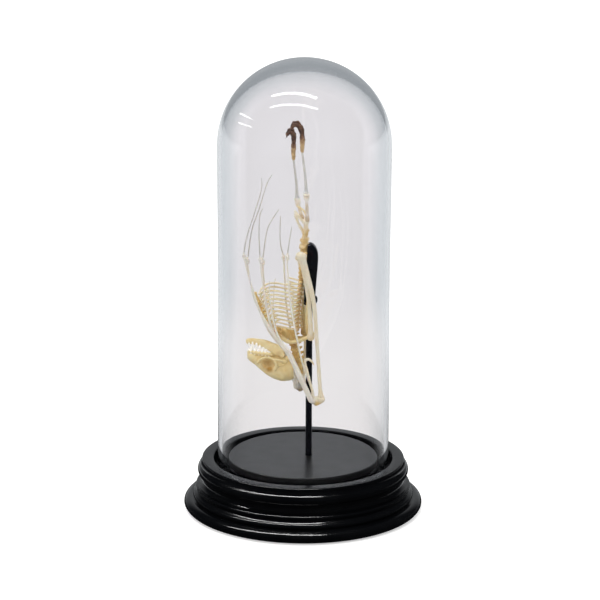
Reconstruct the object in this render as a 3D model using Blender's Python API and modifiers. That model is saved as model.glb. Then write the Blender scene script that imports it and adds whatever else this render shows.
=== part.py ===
"""Bell jar dome: a turned base, a lift-off glass dome, and a small bat skeleton on a stand inside it.

The origin is the middle of the underside, +Z is up, and the skeleton faces -X with its head down.
Lengths are given in millimetres and multiplied by MM where they enter a mesh.
"""

import math

import bmesh
import bpy
from mathutils import Matrix, Vector

MM = 0.001
OBJECT_NAME = "bell_jar_dome"
GAP = 0.3  # left between pieces that touch
MERGE = 0.0001

# Base
FELT_R, FELT_THICK = 45.0, 0.9
FOOT_BOTTOM = 0.2
FOOT_INNER_R = FELT_R + 0.5
BASE_BOTTOM = FELT_THICK + GAP  # the roof of the recess that holds the felt
RIM_TOP = 22.75
RIM_INNER_R, RIM_OUTER_R = 39.1, 44.3
GROOVE_FLOOR = 16.5
PLATEAU_R, PLATEAU_TOP = 32.0, 20.4
FLOOR_R, FLOOR_THICK = 32.5, 3.0
FLOOR_BOTTOM = PLATEAU_TOP + GAP
FLOOR_TOP = FLOOR_BOTTOM + FLOOR_THICK
BEAD_R, BEAD_CENTRE = 2.55, (43.6, 17.6)
COVE_R, COVE_CENTRE = 2.9, (46.3, 13.9)
FILLET_R, FILLET_CENTRE = 0.9, (46.1, 10.3)
ASTRAGAL_R, ASTRAGAL_CENTRE = 1.4, (47.0, 6.75)
FLANGE_R, FLANGE_Z = 52.2, 2.8
FLANGE_REACH, FLANGE_HALF_HEIGHT = 3.4, FLANGE_Z - FOOT_BOTTOM

# Glass dome
GLASS_R, GLASS_WALL = 37.4, 1.8
GLASS_BOTTOM = GROOVE_FLOOR + GAP
GLASS_SPRING = 162.4  # where the cylinder turns into the round top
CROWN_EXTRA, CROWN_STEPS = 2.7, 7  # the glass is this much thicker at the very top

# Stand
ROD_X, ROD_R = 2.4, 1.4
ROD_BOTTOM, ROD_TOP = 2.6, 101.0
ROD_HOLE_R = ROD_R + GAP
COUNTERBORE_R, COUNTERBORE_TOP = 6.0, 8.0
WASHER_R, WASHER_THICK = 4.5, 0.8
NUT_R, NUT_THICK = 3.1, 2.4
SADDLE_WIDTH, SADDLE_EDGE = 5.4, 0.8
CLAMP_Z, CLAMP_HEAD_R, CLAMP_HEAD_X = 94.2, 1.7, 5.15
CLAMP_SHANK_R, CLAMP_HOLE_R = 0.55, 0.9

# Skeleton: the near wing and leg are the animal's right ones, at -Y
VERTEBRA_COUNT = 12
RIB_R, RIB_STEPS, RIB_CLIMB, FLOATING_RIBS = 0.32, 5, 4.0, 2
RIB_END_LOW, RIB_END_HIGH = Vector((-13.4, 0, 82.0)), Vector((-20.0, 0, 101.6))
HEAD_AXIS_Z, HEAD_ROLL = 67.0, -15.5
SPINE_LOW, SPINE_HIGH = Vector((-2.8, 0, 81.4)), Vector((-1.2, 0, 101.7))

RIGHT_LIMBS = {
    "hip": (1.3, -3.3, 130.6),
    "knee": (0.9, -6.0, 141.4),
    "ankle": (-1.0, -3.5, 160.0),
    "toe_hook": [(-0.9, 166.1), (-1.3, 170.5), (-2.8, 173.7), (-4.8, 173.3), (-6.3, 170.8)],
    "shoulder": (3.0, -7.2, 79.4),
    "humerus": [(2.9, -7.2, 84.7), (2.4, -7.2, 92.7), (1.5, -7.2, 99.9), (0.4, -7.2, 107.0)],
    "elbow": (-1.3, -7.3, 116.0),
    "forearm": [
        (0.2, -9.2, 112.2), (1.7, -9.2, 106.4), (3.3, -9.1, 100.1), (4.5, -9.0, 93.0),
        (5.2, -8.8, 84.9), (6.3, -8.6, 69.0),
    ],
    "wrist": (7.3, -8.5, 54.6),
    "carpus": (6.1, -8.5, 50.6),
    "thumb": [
        (3.9, -9.7, 55.3), (3.0, -10.0, 59.3), (1.7, -10.2, 64.8), (0.8, -10.2, 68.2),
        (0.9, -10.2, 69.9), (2.3, -10.2, 70.2), (3.6, -10.2, 69.2), (4.5, -10.2, 67.7),
    ],
    "digit_2": [
        (2.2, -11.0, 55.4), (-5.8, -11.6, 72.9), (-10.3, -11.5, 79.8),
        (-12.8, -11.0, 87.1), (-14.3, -10.5, 96.8), (-14.7, -10.0, 105.1),
    ],
    "digit_3": [
        (2.5, -9.4, 53.3), (-5.8, -10.1, 72.0), (-8.6, -10.0, 75.6), (-16.5, -10.0, 87.3),
        (-20.5, -9.8, 96.6), (-23.5, -9.4, 107.4), (-25.2, -9.2, 114.7),
    ],
    "digit_3_tip": [
        (-25.5, -9.0, 117.2), (-24.4, -8.5, 123.7), (-21.1, -7.4, 134.4), (-18.2, -6.6, 144.3),
        (-18.1, -6.2, 149.4),
    ],
    "digit_4": [
        (2.7, -7.9, 52.4), (-5.8, -8.6, 71.1), (-9.9, -8.6, 76.5), (-13.7, -8.5, 83.7),
        (-16.2, -8.4, 94.8), (-17.9, -8.2, 107.0), (-18.5, -8.0, 112.5),
    ],
    "digit_4_tip": [(-18.8, -7.8, 115.6), (-19.2, -7.2, 126.0), (-18.8, -6.6, 133.2), (-17.7, -6.4, 136.0)],
    "digit_5": [
        (3.9, -7.2, 55.3), (0.8, -8.2, 64.3), (-1.1, -8.8, 70.7), (-3.8, -9.4, 83.9),
        (-5.7, -9.4, 95.1), (-7.0, -8.6, 109.1), (-7.2, -8.4, 114.1),
    ],
    "digit_5_tip": [(-7.0, -8.2, 116.9), (-6.4, -8.0, 121.3), (-5.3, -7.4, 128.4)],
}
LEFT_LIMBS = {
    "hip": (-1.0, 3.3, 130.0),
    "knee": (-3.0, 6.0, 136.6),
    "ankle": (-4.7, 3.5, 155.0),
    "toe_hook": [(-4.7, 160.9), (-4.6, 165.7), (-5.4, 168.3), (-6.9, 168.1), (-7.7, 165.8)],
    "shoulder": (0.9, 6.9, 76.8),
    "humerus": [(0.9, 7.2, 82.0), (0.6, 7.2, 90.0), (-0.1, 7.2, 98.0), (-0.9, 7.2, 104.0)],
    "elbow": (-1.7, 7.3, 111.0),
    "forearm": [
        (-1.0, 9.3, 107.2), (-0.5, 9.3, 101.0), (0.2, 9.3, 91.0), (0.7, 9.3, 80.0),
        (0.9, 9.2, 71.9), (0.5, 8.8, 63.0),
    ],
    "wrist": (-0.3, 8.5, 55.8),
    "carpus": (-1.2, 8.5, 51.8),
    "thumb": [
        (-1.4, 10.6, 57.4), (-0.7, 10.7, 61.0), (-0.3, 10.8, 64.9), (0.5, 10.8, 66.5),
        (1.6, 10.8, 66.0), (2.4, 10.7, 64.6),
    ],
    "digit_2": [
        (-3.2, 11.0, 57.2), (-8.7, 11.5, 69.7), (-12.2, 11.2, 77.1), (-13.4, 10.6, 88.6),
        (-12.6, 10.0, 100.5),
    ],
    "digit_3": [
        (-3.9, 9.5, 55.6), (-8.9, 10.1, 68.8), (-14.8, 10.0, 77.0), (-19.5, 9.8, 86.6),
        (-22.7, 9.6, 95.3), (-24.8, 9.2, 108.0),
    ],
    "digit_3_tip": [
        (-24.5, 9.0, 110.7), (-22.7, 8.0, 123.0), (-19.4, 7.2, 133.0), (-16.3, 6.4, 143.4),
        (-14.0, 6.0, 147.9),
    ],
    "digit_4": [
        (-3.8, 7.9, 55.2), (-8.5, 8.6, 67.8), (-13.7, 8.6, 77.4), (-16.2, 8.4, 88.8),
        (-17.3, 8.2, 98.3), (-18.0, 8.0, 107.4),
    ],
    "digit_4_tip": [(-17.9, 7.8, 110.6), (-16.2, 7.0, 122.4), (-14.2, 6.6, 127.4), (-11.0, 6.2, 132.6)],
    "digit_5": [
        (-2.6, 6.9, 56.4), (-2.7, 8.0, 62.0), (-3.9, 8.8, 69.0), (-6.1, 9.2, 79.9),
        (-7.7, 9.2, 89.9), (-8.8, 8.6, 109.2),
    ],
    "digit_5_tip": [(-9.3, 8.4, 112.6), (-10.4, 8.0, 118.5), (-10.3, 7.2, 129.3)],
}


def clear_scene():
    for obj in list(bpy.data.objects):
        bpy.data.objects.remove(obj, do_unlink=True)


def new_collection(name):
    collection = bpy.data.collections.new(name)
    bpy.context.scene.collection.children.link(collection)
    return collection


def new_material(name, colour, roughness, metallic=0.0, transmission=0.0):
    material = bpy.data.materials.new(name)
    material.use_nodes = True
    shader = material.node_tree.nodes["Principled BSDF"]
    shader.inputs["Base Color"].default_value = (*colour, 1.0)
    shader.inputs["Roughness"].default_value = roughness
    shader.inputs["Metallic"].default_value = metallic
    shader.inputs["Transmission Weight"].default_value = transmission
    return material


def new_object(name, data, collection):
    obj = bpy.data.objects.new(name, data)
    collection.objects.link(obj)
    return obj


def baked(obj, name, collection):
    """A mesh object that holds what this object's curve or modifiers make. The first object is removed."""
    bpy.context.view_layer.update()
    evaluated = obj.evaluated_get(bpy.context.evaluated_depsgraph_get())
    mesh = bpy.data.meshes.new_from_object(evaluated)
    work = bmesh.new()
    work.from_mesh(mesh)
    bmesh.ops.remove_doubles(work, verts=work.verts, dist=1e-6)
    bmesh.ops.recalc_face_normals(work, faces=work.faces)
    work.to_mesh(mesh)
    work.free()
    made = new_object(name, mesh, collection)
    made.matrix_world = obj.matrix_world
    bpy.data.objects.remove(obj, do_unlink=True)
    return made


def finish_part(obj, material, smooth_angle=40.0):
    obj.data.materials.clear()
    obj.data.materials.append(material)
    obj.data.shade_smooth()
    obj.data.set_sharp_from_angle(angle=math.radians(smooth_angle))
    return obj


def arc(centre, radii, start, end, steps):
    """Points on an ellipse's arc in the (radius, height) plane, at angles in degrees."""
    points = []
    for step in range(steps + 1):
        angle = math.radians(start + (end - start) * step / steps)
        points.append((centre[0] + radii[0] * math.cos(angle), centre[1] + radii[1] * math.sin(angle)))
    return points


def turned(name, profile, closed, segments, collection, material):
    """A turned piece. Its profile runs down the outer side."""
    mesh = bpy.data.meshes.new(name)
    vertices = [(radius * MM, 0.0, height * MM) for radius, height in profile]
    edges = [(i, i + 1) for i in range(len(profile) - 1)]
    if closed:
        edges.append((len(profile) - 1, 0))
    mesh.from_pydata(vertices, edges, [])
    obj = new_object(name, mesh, collection)
    screw = obj.modifiers.new("turn", "SCREW")
    screw.angle = math.tau
    screw.steps = segments
    screw.render_steps = segments
    screw.use_merge_vertices = True
    screw.merge_threshold = MERGE
    screw.use_smooth_shade = True
    obj.data.materials.append(material)
    return obj


def smooth_route(points, spans):
    """A Catmull-Rom curve through the points, with this many steps between each two."""
    points = [Vector(point) for point in points]
    ends = [2 * points[0] - points[1], *points, 2 * points[-1] - points[-2]]
    route = []
    for i in range(len(points) - 1):
        a, b, c, d = ends[i : i + 4]
        for step in range(spans):
            t = step / spans
            route.append(
                0.5 * (2 * b + (c - a) * t + (2 * a - 5 * b + 4 * c - d) * t**2)
                + 0.5 * (3 * b - a - 3 * c + d) * t**3
            )
    return [*route, points[-1]]


def tube(points, radii, collection, spans=2, sides=6):
    """A round rod along a smooth route. Its radii are spread evenly along it, and its ends are rounded."""
    route = smooth_route(points, spans)
    wide = []
    for i in range(len(route)):
        place = i / (len(route) - 1) * (len(radii) - 1)
        low = min(int(place), len(radii) - 2)
        wide.append(radii[low] + (radii[low + 1] - radii[low]) * (place - low))
    first = (route[0] - route[1]).normalized() * wide[0] * 0.5
    last = (route[-1] - route[-2]).normalized() * wide[-1] * 0.5
    route = [route[0] + first, *route, route[-1] + last]
    wide = [wide[0] * 0.55, *wide, wide[-1] * 0.55]
    curve = bpy.data.curves.new("tube", "CURVE")
    curve.dimensions = "3D"
    curve.bevel_depth = MM
    curve.bevel_resolution = (sides - 4) // 2
    curve.use_fill_caps = True
    spline = curve.splines.new("POLY")
    spline.points.add(len(route) - 1)
    for point, place, radius in zip(spline.points, route, wide):
        point.co = (*(place * MM), 1.0)
        point.radius = radius
    return baked(new_object("tube", curve, collection), "tube", collection)


def knob(centre, radii, collection, detail=1, turn=0.0):
    """A rounded bone end: an ellipsoid, turned about Y by an angle in degrees."""
    mesh = bpy.data.meshes.new("knob")
    work = bmesh.new()
    place = Matrix.Translation(Vector(centre) * MM) @ Matrix.Rotation(math.radians(turn), 4, "Y")
    shape = place @ Matrix.Diagonal((*(Vector(radii) * MM), 1.0))
    bmesh.ops.create_icosphere(work, subdivisions=detail, radius=1.0, matrix=shape)
    work.to_mesh(mesh)
    work.free()
    return new_object("knob", mesh, collection)


def joined(name, shapes, collection, material, smooth_angle=50.0):
    """One closed body made of overlapping shapes."""
    first, *others = shapes
    for other in others:
        union = first.modifiers.new("join", "BOOLEAN")
        union.operation = "UNION"
        union.object = other
    made = baked(first, name, collection)
    for other in others:
        bpy.data.objects.remove(other, do_unlink=True)
    return finish_part(made, material, smooth_angle)


def cut(obj, cutter, cutters):
    """Cuts a hidden helper's shape out of an object."""
    cutter.hide_render = True
    cutter.display_type = "WIRE"
    for collection in list(cutter.users_collection):
        collection.objects.unlink(cutter)
    cutters.objects.link(cutter)
    difference = obj.modifiers.new("cut", "BOOLEAN")
    difference.operation = "DIFFERENCE"
    difference.object = cutter


def cylinder(name, centre, radius, length, collection, axis="Z", segments=24):
    """A cylinder centred on a point, along Z or X."""
    mesh = bpy.data.meshes.new(name)
    work = bmesh.new()
    turn = Matrix.Rotation(math.radians(90 if axis == "X" else 0), 4, "Y")
    place = Matrix.Translation(Vector(centre) * MM) @ turn
    bmesh.ops.create_cone(
        work, cap_ends=True, segments=segments, radius1=radius * MM, radius2=radius * MM,
        depth=length * MM, matrix=place,
    )
    work.to_mesh(mesh)
    work.free()
    return new_object(name, mesh, collection)


def make_base(parts, cutters, wood, felt, satin):
    profile = [(0.0, PLATEAU_TOP), (PLATEAU_R, PLATEAU_TOP), (PLATEAU_R, GROOVE_FLOOR)]
    profile += [(RIM_INNER_R, GROOVE_FLOOR), (RIM_INNER_R, RIM_TOP - 0.4), (RIM_INNER_R + 0.4, RIM_TOP)]
    profile += [(RIM_OUTER_R - 0.5, RIM_TOP), (RIM_OUTER_R, RIM_TOP - 0.4), (RIM_OUTER_R + 0.2, 20.3)]
    profile += arc(BEAD_CENTRE, (BEAD_R, BEAD_R), 62, -62, 5)
    profile += arc(COVE_CENTRE, (COVE_R, COVE_R), 160, 262, 3)
    profile += arc(FILLET_CENTRE, (FILLET_R, FILLET_R), 75, -45, 2)
    profile += [(FILLET_CENTRE[0] + 0.6, 8.9)]
    profile += arc(ASTRAGAL_CENTRE, (ASTRAGAL_R, ASTRAGAL_R), 65, -50, 3)
    profile += arc((FLANGE_R - FLANGE_REACH, FLANGE_Z), (FLANGE_REACH, FLANGE_HALF_HEIGHT), 95, -90, 6)
    profile += [(FOOT_INNER_R, FOOT_BOTTOM), (FOOT_INNER_R, BASE_BOTTOM), (0.0, BASE_BOTTOM)]
    base = turned("turned_base", profile, False, 44, parts, wood)
    counterbore_mid = (BASE_BOTTOM - 2 + COUNTERBORE_TOP) / 2
    counterbore_length = COUNTERBORE_TOP - BASE_BOTTOM + 2
    bore_place = (ROD_X, 0, counterbore_mid)
    bore = cylinder("counterbore_cutter", bore_place, COUNTERBORE_R, counterbore_length, parts)
    cut(base, bore, cutters)
    hole = cylinder("base_rod_hole_cutter", (ROD_X, 0, 14), ROD_HOLE_R, 16, parts, segments=16)
    cut(base, hole, cutters)

    edge = 1.1
    top = [(0.0, FLOOR_TOP), (FLOOR_R - edge, FLOOR_TOP)]
    top += arc((FLOOR_R - edge, FLOOR_TOP - edge), (edge, edge), 60, 0, 2)
    top += [(FLOOR_R, FLOOR_BOTTOM), (0.0, FLOOR_BOTTOM)]
    display_floor = turned("display_floor", top, False, 40, parts, satin)
    hole_place = (ROD_X, 0, FLOOR_TOP - 1)
    hole = cylinder("floor_rod_hole_cutter", hole_place, ROD_HOLE_R, 8, parts, segments=16)
    cut(display_floor, hole, cutters)

    pad = [(0.0, FELT_THICK), (FELT_R, FELT_THICK), (FELT_R, 0.0), (0.0, 0.0)]
    turned("base_felt", pad, False, 32, parts, felt)


def make_dome(parts, glass):
    lip = GLASS_WALL / 2
    outside = arc((0.0, GLASS_SPRING), (GLASS_R, GLASS_R), 90, 0, CROWN_STEPS)
    outside[0] = (0.0, outside[0][1])
    inside = []
    for step in range(CROWN_STEPS + 1):
        angle = math.radians(90 * step / CROWN_STEPS)
        radius = GLASS_R - GLASS_WALL - CROWN_EXTRA * math.sin(angle) ** 2
        inside.append((radius * math.cos(angle), GLASS_SPRING + radius * math.sin(angle)))
    inside[-1] = (0.0, inside[-1][1])
    mouth = arc((GLASS_R - lip, GLASS_BOTTOM + lip), (lip, lip), 0, -180, 2)
    turned("glass_dome", outside + mouth + inside, False, 44, parts, glass)


def make_stand(parts, cutters, metal, steel):
    middle, length = (ROD_BOTTOM + ROD_TOP) / 2, ROD_TOP - ROD_BOTTOM
    finish_part(cylinder("support_rod", (ROD_X, 0, middle), ROD_R, length, parts), metal)

    washer_top = COUNTERBORE_TOP - GAP
    ring = [(ROD_HOLE_R, washer_top), (WASHER_R, washer_top), (WASHER_R, washer_top - WASHER_THICK)]
    ring += [(ROD_HOLE_R, washer_top - WASHER_THICK)]
    turned("rod_washer", ring, True, 24, parts, steel).location.x = ROD_X * MM
    nut_top = washer_top - WASHER_THICK - GAP
    nut = cylinder("rod_nut", (ROD_X, 0, nut_top - NUT_THICK / 2), NUT_R, NUT_THICK, parts, segments=6)
    cut(nut, cylinder("nut_cutter", (ROD_X, 0, nut_top), ROD_HOLE_R, 8, parts, segments=16), cutters)
    finish_part(nut, steel, 30.0)

    outline = [(1.2, 111.0), (1.9, 115.6), (2.5, 118.4), (3.3, 119.2), (4.4, 118.6), (5.6, 116.8)]
    outline += [(6.1, 114.6), (5.8, 110.0), (5.3, 104.0), (4.9, 97.0), (4.7, 92.8), (4.3, 92.4)]
    outline += [(0.6, 92.4), (0.1, 92.9), (0.1, 99.5), (0.5, 105.0)]
    curve = bpy.data.curves.new("saddle", "CURVE")
    curve.dimensions = "2D"
    curve.fill_mode = "BOTH"
    curve.extrude = SADDLE_WIDTH / 2 * MM
    spline = curve.splines.new("POLY")
    spline.points.add(len(outline) - 1)
    for point, (x, z) in zip(spline.points, outline):
        point.co = (x * MM, z * MM, 0.0, 1.0)
    spline.use_cyclic_u = True
    flat = new_object("saddle", curve, parts)
    flat.rotation_euler.x = math.radians(90)
    saddle = baked(flat, "specimen_saddle", parts)
    edges = saddle.modifiers.new("round", "BEVEL")
    edges.width = SADDLE_EDGE * MM
    edges.segments = 2
    edges.limit_method = "ANGLE"
    edges.angle_limit = math.radians(60)
    bore_top = ROD_TOP + GAP
    bore = cylinder("saddle_bore_cutter", (ROD_X, 0, bore_top - 6), ROD_HOLE_R, 12, parts, segments=16)
    cut(saddle, bore, cutters)
    cross = cylinder("clamp_hole_cutter", (ROD_X + 2, 0, CLAMP_Z), CLAMP_HOLE_R, 4, parts, "X", 12)
    cut(saddle, cross, cutters)
    finish_part(saddle, metal)

    head = knob((CLAMP_HEAD_X, 0, CLAMP_Z), (0.85, CLAMP_HEAD_R, CLAMP_HEAD_R), parts, 2)
    back = cylinder("head_back_cutter", (CLAMP_HEAD_X - 1.5, 0, CLAMP_Z), 3, 3, parts, axis="X")
    cut(head, back, cutters)
    shank = cylinder("shank", (CLAMP_HEAD_X - 0.3, 0, CLAMP_Z), CLAMP_SHANK_R, 1.5, parts, "X", 12)
    joined("clamp_screw", [head, shank], parts, metal)


def spine_point(t):
    """The middle of the back, from its shoulder end at 0 to its loin end at 1."""
    point = SPINE_LOW.lerp(SPINE_HIGH, t)
    point.x -= 0.25 * math.sin(math.pi * t)
    return point


def rib(number, side, collection):
    """One rib: half an ellipse in plan that climbs towards the tail and comes back down to the breastbone.
    The floating ones stop halfway."""
    t = number / (VERTEBRA_COUNT - 1)
    start, end = spine_point(t), RIB_END_LOW.lerp(RIB_END_HIGH, t)
    end.x -= 1.2 * math.sin(math.pi * t)
    half_width = 4.6 + 2.5 * math.sin(math.pi * (0.15 + 0.7 * t))
    end.z -= 0.8
    sweep = 60 if number >= VERTEBRA_COUNT - FLOATING_RIBS else 160
    points = []
    for step in range(RIB_STEPS + 1):
        angle = math.radians(10 + sweep * step / RIB_STEPS)
        share = (1 - math.cos(angle)) / 2
        point = start.lerp(end, share)
        point.y = side * half_width * math.sin(angle)
        point.z += RIB_CLIMB * share * (1 - share**7)
        points.append(point)
    points[0].y = side * 0.4
    return tube(points, [RIB_R * 1.2, RIB_R, RIB_R * 0.9], collection, spans=1)


def make_chest(parts, bone):
    last = VERTEBRA_COUNT - 1
    step = (SPINE_HIGH - SPINE_LOW).length / last
    for number in range(VERTEBRA_COUNT):
        t = number / last
        middle = spine_point(t)
        along = (spine_point(min(t + 0.05, 1)) - spine_point(max(t - 0.05, 0))).normalized()
        half = along * (step / 2 - GAP / 2 - 0.43)
        body = tube([middle - half, middle, middle + half], [0.85, 0.95, 0.85], parts, spans=1)
        spur = tube([middle, middle + Vector((1.1, 0, 0.25))], [0.5, 0.3], parts, spans=1)
        shapes = [body, spur, rib(number, -1, parts), rib(number, 1, parts)]
        joined(f"thoracic_segment_{number + 1:02d}", shapes, parts, bone)

    keel = [(-12.9, 0, 79.2), (-14.9, 0, 82.4), (-17.2, 0, 86.6), (-19.0, 0, 91.2), (-20.4, 0, 96.2)]
    blade = tube(keel, [1.1, 0.8, 0.75, 0.7, 0.6], parts)
    wings = tube([(-12.4, -1.9, 79.3), (-12.8, 0, 79.0), (-12.4, 1.9, 79.3)], [0.6, 0.9, 0.6], parts)
    joined("sternum", [blade, wings], parts, bone)


def make_spine_ends(parts, bone):
    neck = [(-4.6, 0, 78.8), (-4.2, 0, 75.2), (-3.2, 0, 71.3), (-2.1, 0, 66.5), (-1.7, 0, 61.4)]
    shapes = [tube(neck, [1.0, 1.1, 1.0, 1.05, 1.1], parts)]
    for place in smooth_route(neck, 2)[1:-1]:
        shapes.append(knob(place, (1.35, 1.6, 0.5), parts))
    joined("cervical_spine", shapes, parts, bone)

    loin = [(-1.0, 0, 103.6), (-0.7, 0, 107.2), (-0.4, 0, 111.5), (-0.2, 0, 116.4)]
    shapes = [tube(loin, [0.8, 0.9, 0.95, 1.0], parts, spans=1)]
    for place in smooth_route(loin, 2)[:-1]:
        shapes.append(knob(place + Vector((0, 0, 0.3)), (1.05, 1.7, 0.6), parts))
    joined("lumbar_spine", shapes, parts, bone)


def make_pelvis(parts, bone):
    sacrum = [(0.0, 0, 118.0), (0.3, 0, 121.0), (0.5, 0, 125.0), (0.7, 0, 130.2)]
    shapes = [tube(sacrum, [1.3, 1.5, 1.1, 0.8], parts, sides=8)]
    for side in (-1, 1):
        ilium = [(0.0, side * 0.6, 119.6), (0.2, side * 1.6, 123.5), (0.5, side * 1.9, 129.4)]
        pubis = [(0.3, side * 1.5, 125.4), (-1.7, side * 1.7, 127.4), (-3.8, side * 1.4, 132.4)]
        ischium = [(0.4, side * 1.9, 129.2), (-1.2, side * 1.8, 131.6), (-3.6, side * 1.4, 133.2)]
        shapes.append(tube(ilium, [0.5, 0.6, 0.8], parts, spans=1))
        shapes.append(tube(pubis, [0.55, 0.4, 0.5], parts, spans=1))
        shapes.append(tube(ischium, [0.6, 0.45, 0.5], parts, spans=1))
    joined("pelvis", shapes, parts, bone)
    tail = [(0.6, 0, 131.6), (0.1, 0, 133.0), (-1.2, 0, 134.6), (-3.4, 0, 135.8)]
    joined("tail_vertebrae", [tube(tail, [0.5, 0.4, 0.3, 0.25], parts)], parts, bone)


def roll_head(obj):
    """Turns a part of the head about the head's long axis, so that its far side hangs lower."""
    to_axis = Matrix.Translation((0, 0, HEAD_AXIS_Z * MM))
    obj.data.transform(to_axis @ Matrix.Rotation(math.radians(HEAD_ROLL), 4, "X") @ to_axis.inverted())


def make_skull(parts, bone):
    # Station along the head, height of its middle, half height and half width
    stations = [
        (-24.4, 69.3, 1.2, 1.5), (-23.2, 68.7, 2.1, 2.1), (-20.5, 67.3, 3.4, 2.7), (-17.4, 65.8, 4.4, 3.1),
        (-14.6, 64.5, 5.2, 3.3), (-12.0, 63.9, 5.5, 4.4), (-8.6, 63.4, 5.8, 5.6), (-5.8, 63.1, 5.2, 5.3),
        (-4.3, 62.6, 3.9, 4.1), (-3.6, 62.2, 2.2, 2.4),
    ]
    sides = 14
    work = bmesh.new()
    rings = []
    for x, height, half_height, half_width in stations:
        ring = []
        for step in range(sides):
            angle = math.tau * step / sides
            spot = Vector((x, half_width * math.cos(angle), height + half_height * math.sin(angle)))
            ring.append(work.verts.new(spot * MM))
        rings.append(ring)
    bmesh.ops.contextual_create(work, geom=rings[0])
    bmesh.ops.contextual_create(work, geom=rings[-1])
    for low, high in zip(rings, rings[1:]):
        for step in range(sides):
            after = (step + 1) % sides
            work.faces.new((low[step], low[after], high[after], high[step]))
    bmesh.ops.recalc_face_normals(work, faces=work.faces)
    mesh = bpy.data.meshes.new("braincase")
    work.to_mesh(mesh)
    work.free()
    shapes = [new_object("braincase", mesh, parts)]
    for side in (-1, 1):
        cheek = [(-18.6, side * 2.6, 68.4), (-16.4, side * 6.2, 69.6), (-12.6, side * 7.2, 69.2)]
        cheek += [(-9.6, side * 6.6, 67.4), (-8.0, side * 5.0, 66.0)]
        shapes.append(tube(cheek, [0.8, 0.6, 0.5, 0.6, 0.8], parts))
        shapes.append(knob((-6.8, side * 3.6, 67.6), (1.7, 1.5, 1.3), parts))
    roll_head(joined("cranium", shapes, parts, bone))

    shapes = []
    for side in (-1, 1):
        jaw = [(-23.5, side * 0.4, 75.0), (-20.0, side * 1.8, 74.8), (-16.0, side * 3.2, 74.2)]
        jaw += [(-12.6, side * 4.6, 73.0), (-10.2, side * 5.3, 71.3), (-8.9, side * 5.7, 69.6)]
        shapes.append(tube(jaw, [1.0, 1.25, 1.3, 1.4, 1.1, 0.7], parts, sides=8))
    roll_head(joined("mandible", shapes, parts, bone))


def make_leg(side_name, limbs, parts, bone, skin):
    hip, knee, ankle = (Vector(limbs[key]) for key in ("hip", "knee", "ankle"))
    thigh = (knee - hip).normalized()
    shaft = tube([hip + thigh * 0.4, hip.lerp(knee, 0.5), knee - thigh * 0.8], [0.75, 0.55, 0.7], parts)
    head = knob(hip, (0.85, 0.85, 0.85), parts)
    condyle = knob(knee - thigh * 0.8, (1.45, 1.2, 1.0), parts)
    joined(f"{side_name}_femur", [shaft, head, condyle], parts, bone)

    shin = (ankle - knee).normalized()
    top = knee + shin * 1.2
    bottom = ankle - shin * 0.6
    bow = top.lerp(bottom, 0.45) + Vector((0.35, 0, 0))
    shaft = tube([top, bow, bottom], [0.75, 0.42, 0.42, 0.42, 0.5], parts, spans=4)
    joined(f"{side_name}_tibia", [shaft, knob(top, (1.0, 0.9, 0.7), parts)], parts, bone)

    hook = [Vector((x, ankle.y, z)) for x, z in limbs["toe_hook"]]
    heel = ankle + Vector((0, 0, 1.2))
    shapes = [tube([heel, heel.lerp(hook[0], 0.5), hook[0]], [0.75, 0.95, 0.9], parts, spans=1, sides=8)]
    for toe in range(5):
        spread = (toe - 2) * 0.95
        route = [heel + Vector((0, spread * 0.3, 1.5))]
        for i, point in enumerate(hook):
            route.append(point + Vector((0, spread * min(1, 0.35 + 0.3 * i), 0)))
        shapes.append(tube(route, [0.5, 0.55, 0.5, 0.45, 0.15], parts, spans=1))
    joined(f"{side_name}_foot", shapes, parts, skin)


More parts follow.
